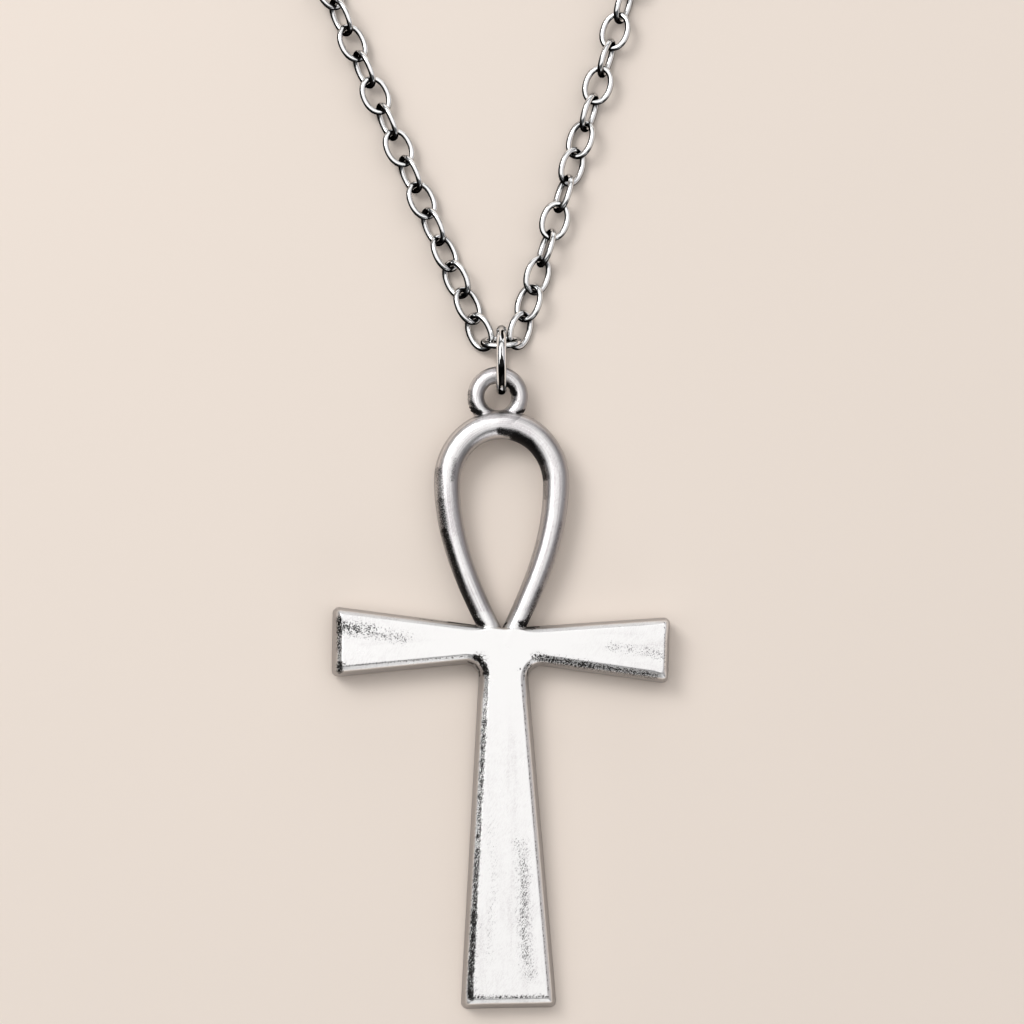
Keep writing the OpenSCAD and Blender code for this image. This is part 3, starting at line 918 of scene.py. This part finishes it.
# How worn the face and its rim are, how far from the cross centre the face's wear
# grows, and the shares of the bevel between which the rim's fades
FACE_WEAR, RIM_WEAR = 0.65, 0.85
FACE_REACH = (4.0, 13.0)
RIM_FADE = (0.8, 1.3)
# Heights over the cross centre between which each look of the loop begins
LOOP_Y = 2.0
LOOP_WEAR = (1.8, 3.4)
LOOP_FLANK = (2.0, 4.5)
LOOP_SOFT = (2.4, 4.4)
# Depths under the cross centre between which the shaft's stains turn to hatching
SHAFT_HATCHED = (2.0, 5.0)
# Height in millimetres below which all of the outside is side wall
LOW_WALL = 0.2
# Where the wall gives way to the face: in shares of the wall's width, in shares of half
# the band's width, and in millimetres on the eye
CROSS_EDGE = (0.7, 1.15)
BAND_EDGE = (0.03, 0.25)
EYE_EDGE = (0.0, 0.12)
# Insets in millimetres over which the loop's wear begins
LOOP_EDGE = (0.0, 0.1)


def faded(distance, width, shares):
    """0 nearer than the first share of a width, 1 past the second, and smooth between."""
    return smooth_step(distance, width * shares[0], width * shares[1])


def patina_and_shade_of(points):
    """How dark each point of the casting is, from the patina and painted shade laid along lines."""
    total = np.zeros(len(points))
    for _, line, half, strength in PATINA_AND_SHADE_PLACES:
        distance, _ = nearest(points, np.array(line, float))
        total = np.maximum(total, strength * (1 - faded(distance, half, PATINA_AND_SHADE_FADE)))
    return total


def grain_of(casting, points):
    """Along and across the brushing, in metres, on the loop, the eye, the arms and the shaft."""
    distance, half, place = casting.band(points)
    step = np.hypot(*np.diff(casting.line, axis=0).T)
    along = np.interp(place, np.arange(len(casting.line)), np.append(0, np.cumsum(step)))
    arm = np.abs(points[:, 0]) > np.abs(points[:, 1])
    cross = np.where(arm[:, None], points, points[:, ::-1])
    on_loop = (points[:, 1] > LOOP_Y) & (half > distance)
    away, rho = casting.from_eye(points)
    round_eye = np.column_stack([np.arctan2(away[:, 1], away[:, 0]) * casting.eye_r, rho])
    grain = np.where((points[:, 1] > casting.sizes.loop_h)[:, None], round_eye, cross)
    grain = np.where(on_loop[:, None], np.column_stack([along, distance]), grain)
    return np.column_stack([grain * MM, np.zeros(len(points))])


def wear_of(casting, points):
    """1 on the loop, less on the rims, and none on the face at the cross centre."""
    cross, loop, eye = casting.insets(points)
    wall, bevel = casting.rim(points)
    reach = np.hypot(points[:, 0], points[:, 1])
    face = FACE_WEAR * smooth_step(reach, *FACE_REACH)
    low, high = (wall + bevel * part for part in RIM_FADE)
    edge = RIM_WEAR * (1 - smooth_step(cross, low, high))
    on_loop = smooth_step(np.maximum(loop, eye), *LOOP_EDGE)
    on_loop *= smooth_step(points[:, 1], *LOOP_WEAR)
    return np.maximum(face, np.maximum(edge, on_loop))


def flank_of(casting, points):
    """How much painted shade greys the loop and the eye: most on their flanks that face right."""
    distance, half, place = casting.band(points)
    middle = np.interp(place, np.arange(len(casting.line)), casting.line[:, 0])
    across = (points[:, 0] - middle) / half
    away, rho = casting.from_eye(points)
    on_eye = np.abs(rho - casting.eye_r) < casting.eye_wire / 2
    across = np.where(on_eye & (points[:, 1] > casting.sizes.loop_h),
                      (rho - casting.eye_r) / casting.eye_wire * 2 * away[:, 0] / rho, across)
    on_loop = smooth_step(points[:, 1], *LOOP_FLANK) * ((distance < half) | on_eye)
    return FLANK_SHARE * smooth_step(across, *FLANK_FADE) * on_loop


def side_of(casting, points):
    """1 on the side walls and the back, where painted shade darkens the silver, 0 on the face."""
    flat = points[:, :2]
    cross, loop, eye = casting.insets(flat)
    wall, _ = casting.rim(flat)
    _, half, _ = casting.band(flat)
    on_cross = 1 - faded(cross, wall, CROSS_EDGE)
    on_loop = 1 - faded(loop, half, BAND_EDGE)
    on_eye = 1 - smooth_step(eye, *EYE_EDGE)
    front = np.minimum(np.minimum(on_cross, on_loop), on_eye)
    return np.where(points[:, 2] < LOW_WALL, 1.0, front)


class NECKLACE_OT_ankh(bpy.types.Operator):
    """Builds the cast ankh from its sizes"""

    bl_idname = "necklace.ankh"
    bl_label = "Ankh"

    def execute(self, context):
        scene = context.scene
        sizes, ring = in_mm(scene.ankh_sizes), in_mm(scene.ring_sizes)
        casting = Casting(sizes)
        vertices, faces = casting_mesh(casting)
        silver = material("cast_silver", antique_silver, scene.necklace_finish)
        piece = new_object("ankh_casting", vertices, faces, silver)
        mesh = piece.data
        flat = np.array(vertices)[:, :2]
        # Patina in the hollows and painted shade on the bevels and flanks
        marked(piece, "patina_and_shade", patina_and_shade_of(flat))
        # Where the walls' painted shade goes
        marked(piece, "side", side_of(casting, np.array(vertices)))
        marked(piece, "wear", wear_of(casting, flat))
        # Painted shade on the flanks that face right
        marked(piece, "flank_shade", flank_of(casting, flat))
        marked(piece, "hatched", smooth_step(-flat[:, 1], *SHAFT_HATCHED))
        marked(piece, "soft", smooth_step(flat[:, 1], *LOOP_SOFT))
        grain = mesh.attributes.new("grain", "FLOAT_VECTOR", "POINT")
        grain.data.foreach_set("vector", grain_of(casting, flat).astype(np.float32).ravel())
        merged(piece, CASTING_MERGE)
        mesh.transform(pendant_place(sizes, ring, casting))
        declared(piece, "antique_silver", "ankh")
        return {"FINISHED"}


def torus(name, ring_r, wire_r, ring_and_wire_steps, surface, gap=0.0, start=0.0):
    """A ring of round wire in the XY plane, cut open by gap at start if it has one."""
    steps, wire_steps = ring_and_wire_steps
    open_angle = gap / ring_r
    sections = []
    for i in range(steps + (1 if gap else 0)):
        a = start + open_angle / 2 + (2 * math.pi - open_angle) * i / steps
        out = Vector((math.cos(a), math.sin(a), 0))
        for k in range(wire_steps):
            b = 2 * math.pi * k / wire_steps
            sections.append(out * (ring_r + wire_r * math.cos(b))
                            + Vector((0, 0, wire_r * math.sin(b))))
    rows = len(sections) // wire_steps
    faces = []
    for i in range(rows - (1 if gap else 0)):
        for k in range(wire_steps):
            j, m = (i + 1) % rows, (k + 1) % wire_steps
            faces.append((i * wire_steps + k, j * wire_steps + k,
                          j * wire_steps + m, i * wire_steps + m))
    if gap:
        faces.append(tuple(range(wire_steps)))
        faces.append(tuple(range((rows - 1) * wire_steps, rows * wire_steps))[::-1])
    return new_object(name, sections, faces, surface)


# How light and shade are painted on the ring, by how far its surface faces across, to +x,
# and along, to +y: a painted dark reflection in a streak that widens to the foot, painted
# dark all over at its lower end but for a painted highlight in a bright ball, and a slanting
# painted dark patch at the top. A pair says between which values a change takes place.
STREAK_LEAST, STREAK_GAIN = 0.1, 0.5
STREAK_WIDENS = (-0.1, 0.3)
STREAK_EDGE = (0.7, 1.3)
STREAK_BEGINS = (-0.36, -0.2)
LOW_END_BEGINS = (0.7, 0.78)
BALL_EDGE = (0.14, 0.36)
BALL_BEGINS = (0.76, 0.8)
BALL_ENDS = (0.87, 0.93)
PATCH_ACROSS, PATCH_ALONG, PATCH_SLANT = 0.1, 0.75, 0.6
PATCH_EDGE = (0.14, 0.32)
PATCH_BEGINS = (0.42, 0.52)
PATCH_ENDS = (0.74, 0.84)
# Steps round the ring and round its wire, and the same for the clasp's eyes
RING_STEPS = (160, 28)
CLASP_EYE_STEPS = (48, 14)


def ring_painted_light(across, along):
    """1 where the ring is painted bright and 0 where it is painted dark, as painted highlights and shade.
    """
    wide = STREAK_LEAST + STREAK_GAIN * smooth_step(-along, *STREAK_WIDENS)
    streak = 1 - smooth_step(np.abs(across) / wide, *STREAK_EDGE)
    streak *= smooth_step(-along, *STREAK_BEGINS)
    streak = np.maximum(streak, smooth_step(-along, *LOW_END_BEGINS))
    ball = (1 - smooth_step(np.abs(across), *BALL_EDGE)) * smooth_step(-along, *BALL_BEGINS)
    streak *= 1 - ball * (1 - smooth_step(-along, *BALL_ENDS))
    off_patch = np.abs(across - PATCH_ACROSS - PATCH_SLANT * (PATCH_ALONG - along))
    patch = 1 - smooth_step(off_patch, *PATCH_EDGE)
    patch *= smooth_step(along, *PATCH_BEGINS) * (1 - smooth_step(along, *PATCH_ENDS))
    return 1 - np.maximum(streak, patch)


class NECKLACE_OT_ring(bpy.types.Operator):
    """Builds the jump ring with the cut where it closes"""

    bl_idname = "necklace.jump_ring"
    bl_label = "Jump ring"

    def execute(self, context):
        sizes = context.scene.ring_sizes
        low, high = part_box("jump_ring")
        ring_r = (high.z - low.z) / 2 - sizes.wire / 2
        steel = material("drawn_steel", polished_steel, context.scene.necklace_finish)
        piece = torus("jump_ring_wire", ring_r, sizes.wire / 2, RING_STEPS, steel,
                      sizes.cut_w, sizes.cut_angle)
        upright = Matrix.Rotation(math.pi / 2 - sizes.lean, 4, "Y")
        stand = Matrix.Rotation(-sizes.turn, 4, "Z") @ upright
        place = (low + high) / 2 + Vector((sizes.shift, 0, 0))
        piece.data.transform(Matrix.Translation(place) @ stand)
        across, along, _ = normals(piece).T
        # Painted highlights and shade of the ring, by the way its surface faces
        marked(piece, "tone", ring_painted_light(across, along))
        declared(piece, "polished_steel", "jump_ring")
        return {"FINISHED"}


def link_tree(surface):
    """Geometry nodes that set an oval link of round wire on every point."""
    tree = bpy.data.node_groups.new("Cable chain", "GeometryNodeTree")
    face = tree.interface
    face.new_socket("Places", in_out="INPUT", socket_type="NodeSocketGeometry")
    for name in ("Half length", "Half width", "Fullness", "Wire radius"):
        face.new_socket(name, in_out="INPUT", socket_type="NodeSocketFloat")
    for name in ("Link steps", "Wire steps"):
        face.new_socket(name, in_out="INPUT", socket_type="NodeSocketInt")
    face.new_socket("Chain", in_out="OUTPUT", socket_type="NodeSocketGeometry")

    def node(kind, settings, sockets):
        return new_node(tree, kind, settings, sockets)

    def maths(operation, *values):
        return node("ShaderNodeMath", {"operation": operation}, dict(enumerate(values)))[0]

    given = node("NodeGroupInput", {}, {})
    oval = node("GeometryNodeCurvePrimitiveCircle", {},
                {"Resolution": given["Link steps"], "Radius": 1.0})["Curve"]
    axes = node("ShaderNodeCombineXYZ", {}, {0: given["Half length"], 1: given["Half width"]})[0]
    here = node("GeometryNodeInputPosition", {}, {})[0]
    spread = node("ShaderNodeVectorMath", {"operation": "MULTIPLY"}, {0: here, 1: axes})[0]
    across = node("ShaderNodeSeparateXYZ", {}, {0: here})
    powers = [maths("POWER", maths("ABSOLUTE", across[i]), given["Fullness"]) for i in range(2)]
    swell = maths("POWER", maths("ADD", *powers), maths("DIVIDE", -1.0, given["Fullness"]))
    spread = node("ShaderNodeVectorMath", {"operation": "SCALE"}, {0: spread, "Scale": swell})[0]
    oval = node("GeometryNodeSetPosition", {}, {"Geometry": oval, "Position": spread})[0]
    wire = node("GeometryNodeCurvePrimitiveCircle", {},
                {"Resolution": given["Wire steps"], "Radius": given["Wire radius"]})["Curve"]
    link = node("GeometryNodeCurveToMesh", {}, {"Curve": oval, "Profile Curve": wire})[0]
    turn = node("GeometryNodeInputNamedAttribute", {"data_type": "FLOAT_VECTOR"},
                {"Name": "turn"})["Attribute"]
    rotation = node("FunctionNodeEulerToRotation", {}, {0: turn})[0]
    places = node("GeometryNodeMeshToPoints", {}, {"Mesh": given["Places"]})[0]
    links = node("GeometryNodeInstanceOnPoints", {},
                 {"Points": places, "Instance": link, "Rotation": rotation})[0]
    real = node("GeometryNodeRealizeInstances", {}, {"Geometry": links})[0]
    painted = node("GeometryNodeSetMaterial", {}, {"Geometry": real, "Material": surface})[0]
    node("NodeGroupOutput", {}, {"Chain": painted})
    return tree


def odd_roll(k, column, chain):
    """Roll in degrees at a link of a strand, as an odd link there would have it."""
    rest = ROLL[-1][1]
    last = 90 if chain.side_links % 2 else 0
    turning = k - chain.side_links + chain.turn_links
    if turning > 0:
        return rest + (last - rest) * turning / chain.turn_links
    links = [row[0] for row in ROLL]
    return float(np.interp(k, links, [row[column] for row in ROLL]))


# Links beside the pendant whose slack grows from one to the next, and links over which
# the strands come in from the solids' own line
LOOSE_LINKS = 13
DRAW_LINKS = 20


def strand_places(side, chain, clasp, ring, ring_box):
    """Places and turns of a strand's links, counted from the pendant.

    A strand runs straight out from half a link beside the middle, and then round a
    circle about a point on the necklace's line, at arc_y from the centre link.
    """
    low, high = ring_box
    half_l, half_w, wire_r = chain.link_l / 2, chain.link_w / 2, chain.wire / 2
    ring_z = (low.z + high.z) / 2
    out_r = ring_z + wire_r + ring.clear
    centre_y = ((low.y + high.y) / 2 + chain.centre_play - half_w * math.sin(chain.centre_lean)
                + math.sqrt(out_r ** 2 - (ring_z - wire_r) ** 2))
    first = half_l - chain.wire - chain.centre_clear
    clasp_half = clasp.length / 2 + clasp.eye_d - 3 * clasp.wire / 2
    last = half_l + clasp_half - (chain.wire + clasp.wire) / 2 - chain.clasp_clear
    half_route = first + (chain.side_links - 1) * chain.pitch + last
    bend = math.pi / 2 + chain.strand_angle
    sin, cos = math.sin(chain.strand_angle), math.cos(chain.strand_angle)
    arc_y = (half_route + half_l * (sin - cos * bend)) / (cos + sin * bend)
    arc_r = half_l * cos + arc_y * sin
    straight = arc_y * cos - half_l * sin
    column = 2 if side > 0 else 1
    places, turns = [], []
    if side < 0:
        places.append((ring.shift + chain.centre_shift, centre_y,
                       wire_r + half_w * math.cos(chain.centre_lean)))
        turns.append((math.pi / 2 + chain.centre_lean, 0, 0))
    for k in range(1, chain.side_links + 1):
        fade = min(1, (chain.side_links - k) / (chain.side_links - LOOSE_LINKS))
        slack = (chain.slack + chain.slack_step * min(k, LOOSE_LINKS)) * fade
        drift = (chain.left_drift if side < 0 else chain.right_drift) * fade ** 3
        s = first + (k - 1) * chain.pitch + slack
        t = (s - straight) / arc_r - chain.strand_angle
        if s <= straight:
            x, y, heading = half_l + s * sin, s * cos, math.pi / 2 - chain.strand_angle
        else:
            x, y, heading = arc_r * math.cos(t), arc_y + arc_r * math.sin(t), t + math.pi / 2
        x -= chain.draw_in * min(1, k / DRAW_LINKS)
        base = math.radians(odd_roll(k, column, chain))
        roll = base - (0 if k % 2 else math.pi / 2)
        z = wire_r + half_w * max(abs(math.sin(base)), abs(math.cos(base)), chain.least_rise)
        places.append((side * x + drift, centre_y + y, z))
        turns.append((side * roll, 0, heading if side > 0 else math.pi - heading))
    return places, turns


class NECKLACE_OT_chain(bpy.types.Operator):
    """Builds both strands of the cable chain, link by link"""

    bl_idname = "necklace.chain"
    bl_label = "Cable chain"

    def execute(self, context):
        scene = context.scene
        chain, ring, clasp = scene.chain_sizes, scene.ring_sizes, scene.clasp_sizes
        steel = material("drawn_steel", polished_steel, scene.necklace_finish)
        tree = link_tree(steel)
        for side, node in ((-1, "chain_left"), (1, "chain_right")):
            places, turns = strand_places(side, chain, clasp, ring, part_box("jump_ring"))
            seeds = new_object(node + "_places", places, [], steel)
            turn = seeds.data.attributes.new("turn", "FLOAT_VECTOR", "POINT")
            turn.data.foreach_set("vector", np.array(turns, np.float32).ravel())
            modifier = seeds.modifiers.new("Links", "NODES")
            modifier.node_group = tree
            values = {"Half length": chain.link_l / 2, "Half width": chain.link_w / 2,
                      "Fullness": chain.fullness, "Wire radius": chain.wire / 2,
                      "Link steps": chain.link_steps, "Wire steps": chain.wire_steps}
            for item in tree.interface.items_tree:
                if item.in_out == "INPUT" and item.name in values:
                    modifier[item.identifier] = values[item.name]
            shape = seeds.evaluated_get(context.evaluated_depsgraph_get())
            mesh = bpy.data.meshes.new_from_object(shape)
            mesh.name = node + "_links"
            mesh.shade_smooth()
            bpy.data.objects.remove(seeds)
            piece = bpy.data.objects.new(node + "_links", mesh)
            scene.collection.objects.link(piece)
            # Painted light and shade: each link's wire is painted bright on the side that faces up and a
            # little towards +x and +y, and dark on the other
            marked(piece, "tone", normals(piece) @ PAINTED_LIGHT_SIDE)
            declared(piece, "polished_steel", node)
        return {"FINISHED"}


# Shape of the barrel: where its lip and its shoulder end, as shares of its half length
# from the middle, the radius of its flat end, as a share of the neck's, and the steps
# of a shoulder
LIP, SHOULDER, END_R = 0.98, 0.5, 0.9
SHOULDER_STEPS = 12


class NECKLACE_OT_clasp(bpy.types.Operator):
    """Builds the closed barrel of the clasp with an eye at each end"""

    bl_idname = "necklace.clasp"
    bl_label = "Clasp"

    def execute(self, context):
        sizes = context.scene.clasp_sizes
        low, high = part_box("clasp")
        steel = material("drawn_steel", polished_steel, context.scene.necklace_finish)
        half, body_r, neck_r = sizes.length / 2, sizes.diameter / 2, sizes.wire
        profile = [(-half, 0), (-half, neck_r * END_R), (-half * LIP, neck_r)]
        for i in range(SHOULDER_STEPS + 1):
            a = math.pi / 2 * i / SHOULDER_STEPS
            profile.append((-half * LIP + half * (LIP - SHOULDER) * (1 - math.cos(a)),
                            neck_r + (body_r - neck_r) * math.sin(a)))
        profile += [(-x, r) for x, r in profile[::-1]]
        vertices, faces = [], []
        for x, r in profile:
            for k in range(sizes.steps):
                b = 2 * math.pi * k / sizes.steps
                vertices.append((x, r * math.cos(b), r * math.sin(b)))
        for i in range(len(profile) - 1):
            for k in range(sizes.steps):
                m = (k + 1) % sizes.steps
                faces.append((i * sizes.steps + k, i * sizes.steps + m,
                              (i + 1) * sizes.steps + m, (i + 1) * sizes.steps + k))
        body = new_object("clasp_barrel", vertices, faces, steel)
        merged(body, CLASP_MERGE)
        reach = half + sizes.eye_d / 2 - sizes.wire
        eyes = []
        for side in (-1, 1):
            eye = torus("clasp_eye", (sizes.eye_d - sizes.wire) / 2, sizes.wire / 2,
                        CLASP_EYE_STEPS, steel)
            eye.data.transform(Matrix.Translation((side * reach, 0, 0)))
            eyes.append(eye)
        piece = joined([body] + eyes)
        piece.data.transform(Matrix.Translation((low + high) / 2))
        # The clasp has no painted shade: its tone is bright all round
        marked(piece, "tone", np.ones(len(piece.data.vertices)))
        declared(piece, "polished_steel", "clasp")
        return {"FINISHED"}


def joined(pieces):
    """One object with the meshes of several."""
    body = bmesh.new()
    for piece in pieces:
        body.from_mesh(piece.data)
    body.to_mesh(pieces[0].data)
    body.free()
    for piece in pieces[1:]:
        bpy.data.objects.remove(piece)
    pieces[0].data.shade_smooth()
    return pieces[0]


# Camera: where it looks, how far off it is, how far it leans to +x and +y from
# straight above, its roll and the width that it frames
VIEW_MIDDLE = Vector((0.00066, -0.07499, 0.0))
VIEW_DISTANCE = 0.6
VIEW_LEAN = (math.radians(-3.4), math.radians(-4.5))
VIEW_ROLL = math.radians(3.11)
VIEW_WIDTH = 0.10289


FLOOR_WIDTH = 3.0
# Faint light from all round
ROOM_TINT = (0.95, 0.97, 1.0, 1.0)
ROOM_STRENGTH = 0.1

# Soft lights: size, place and aim from the middle of the picture, radiance and tint.
# The canopy stops short of the foot's side and of the right, where the metal looks grey.
LIGHTS = (
    ("canopy", (2.25, 1.75), (-0.375, 0.425, 0.9), (-0.375, 0.425, 0), 0.86, (1.0, 0.99, 0.98)),
    ("overhead", (0.8, 0.8), (-0.08, 0.12, 0.86), (-0.08, 0.12, 0), 0.12, (1.0, 1.0, 1.0)),
    ("right fill", (0.75, 1.9), (1.125, 0.35, 0.9), (1.125, 0.35, 0), 0.5, (1.0, 0.97, 0.985)),
    ("upper left", (0.25, 0.25), (-0.26, 0.25, 0.46), (0, 0, 0), 6.5, (1.0, 1.0, 1.0)),
    ("foot side", (0.45, 0.3), (0.17, -0.53, 0.14), (0, 0, 0), 1.25, (1.0, 1.0, 1.0)),
    ("head side", (0.9, 0.3), (0.12, 0.65, 0.16), (0, 0, 0), 0.9, (1.0, 1.0, 1.0)),
    ("right side", (0.6, 0.3), (0.6, 0.0, 0.14), (0, 0, 0), 0.42, (1.0, 0.96, 0.98)),
)


def softbox(name, size, place, target, radiance, tint):
    """A rectangular lamp at place that faces target."""
    light = bpy.data.lights.new(name, "AREA")
    light.shape = "RECTANGLE"
    light.size, light.size_y = size
    light.energy = radiance * math.pi * size[0] * size[1]
    light.color = tint
    lamp = bpy.data.objects.new(name, light)
    bpy.context.scene.collection.objects.link(lamp)
    lamp.location = place
    lamp.rotation_euler = (target - place).to_track_quat("-Z", "Y").to_euler()


class NECKLACE_OT_stage(bpy.types.Operator):
    """Sets the pale floor, the soft light and the camera"""

    bl_idname = "necklace.stage"
    bl_label = "Stage"

    def execute(self, context):
        scene = context.scene
        surface = material("pale_floor", pale_floor, scene.necklace_finish)
        w = FLOOR_WIDTH / 2
        corners = [(-w, -w, 0), (w, -w, 0), (w, w, 0), (-w, w, 0)]
        new_object("floor", corners, [(0, 1, 2, 3)], surface)
        for name, size, place, aim, radiance, tint in LIGHTS:
            softbox(name, size, VIEW_MIDDLE + Vector(place), VIEW_MIDDLE + Vector(aim),
                    radiance, tint)
        world = bpy.data.worlds.new("room")
        world.use_nodes = True
        back = world.node_tree.nodes["Background"]
        back.inputs["Color"].default_value = ROOM_TINT
        back.inputs["Strength"].default_value = ROOM_STRENGTH
        scene.world = world
        camera = bpy.data.cameras.new("camera")
        camera.sensor_fit = "HORIZONTAL"
        camera.angle = 2 * math.atan(VIEW_WIDTH / 2 / VIEW_DISTANCE)
        camera.clip_start = 0.01
        eye = bpy.data.objects.new("camera", camera)
        scene.collection.objects.link(eye)
        x, y = math.sin(VIEW_LEAN[0]), math.sin(VIEW_LEAN[1])
        away = Vector((x, y, math.sqrt(1 - x * x - y * y)))
        up = Vector((math.sin(VIEW_ROLL), math.cos(VIEW_ROLL), 0))
        right = up.cross(away).normalized()
        turn = Matrix((right, away.cross(right), away)).transposed()
        eye.matrix_world = Matrix.Translation(VIEW_MIDDLE + away * VIEW_DISTANCE) @ turn.to_4x4()
        scene.camera = eye
        scene.view_settings.view_transform = "Standard"
        return {"FINISHED"}


class NECKLACE_PT_panel(bpy.types.Panel):
    """Lists the pieces of the necklace"""

    bl_idname = "NECKLACE_PT_panel"
    bl_label = "Ankh necklace"
    bl_space_type = "VIEW_3D"
    bl_region_type = "UI"
    bl_category = "Necklace"

    def draw(self, context):
        for operator in OPERATORS:
            self.layout.operator(operator.bl_idname)
        for name in GROUPS:
            box = self.layout.box()
            group = getattr(context.scene, name)
            for prop in group.bl_rna.properties:
                if prop.identifier not in ("rna_type", "name"):
                    box.prop(group, prop.identifier)


OPERATORS = (NECKLACE_OT_stage, NECKLACE_OT_ankh, NECKLACE_OT_ring, NECKLACE_OT_chain,
             NECKLACE_OT_clasp)
GROUPS = {
    "ankh_sizes": AnkhSizes,
    "ring_sizes": RingSizes,
    "chain_sizes": ChainSizes,
    "clasp_sizes": ClaspSizes,
    "necklace_finish": Finish,
}


def register():
    for group in GROUPS.values():
        bpy.utils.register_class(group)
    for kind in OPERATORS + (NECKLACE_PT_panel,):
        bpy.utils.register_class(kind)
    for name, group in GROUPS.items():
        setattr(bpy.types.Scene, name, bpy.props.PointerProperty(type=group))


def unregister():
    for name in GROUPS:
        delattr(bpy.types.Scene, name)
    for kind in (NECKLACE_PT_panel,) + OPERATORS[::-1]:
        bpy.utils.unregister_class(kind)
    for group in GROUPS.values():
        bpy.utils.unregister_class(group)


def main():
    register()
    for operator in OPERATORS:
        group, name = operator.bl_idname.split(".")
        getattr(getattr(bpy.ops, group), name)()


if __name__ == "__main__":
    main()
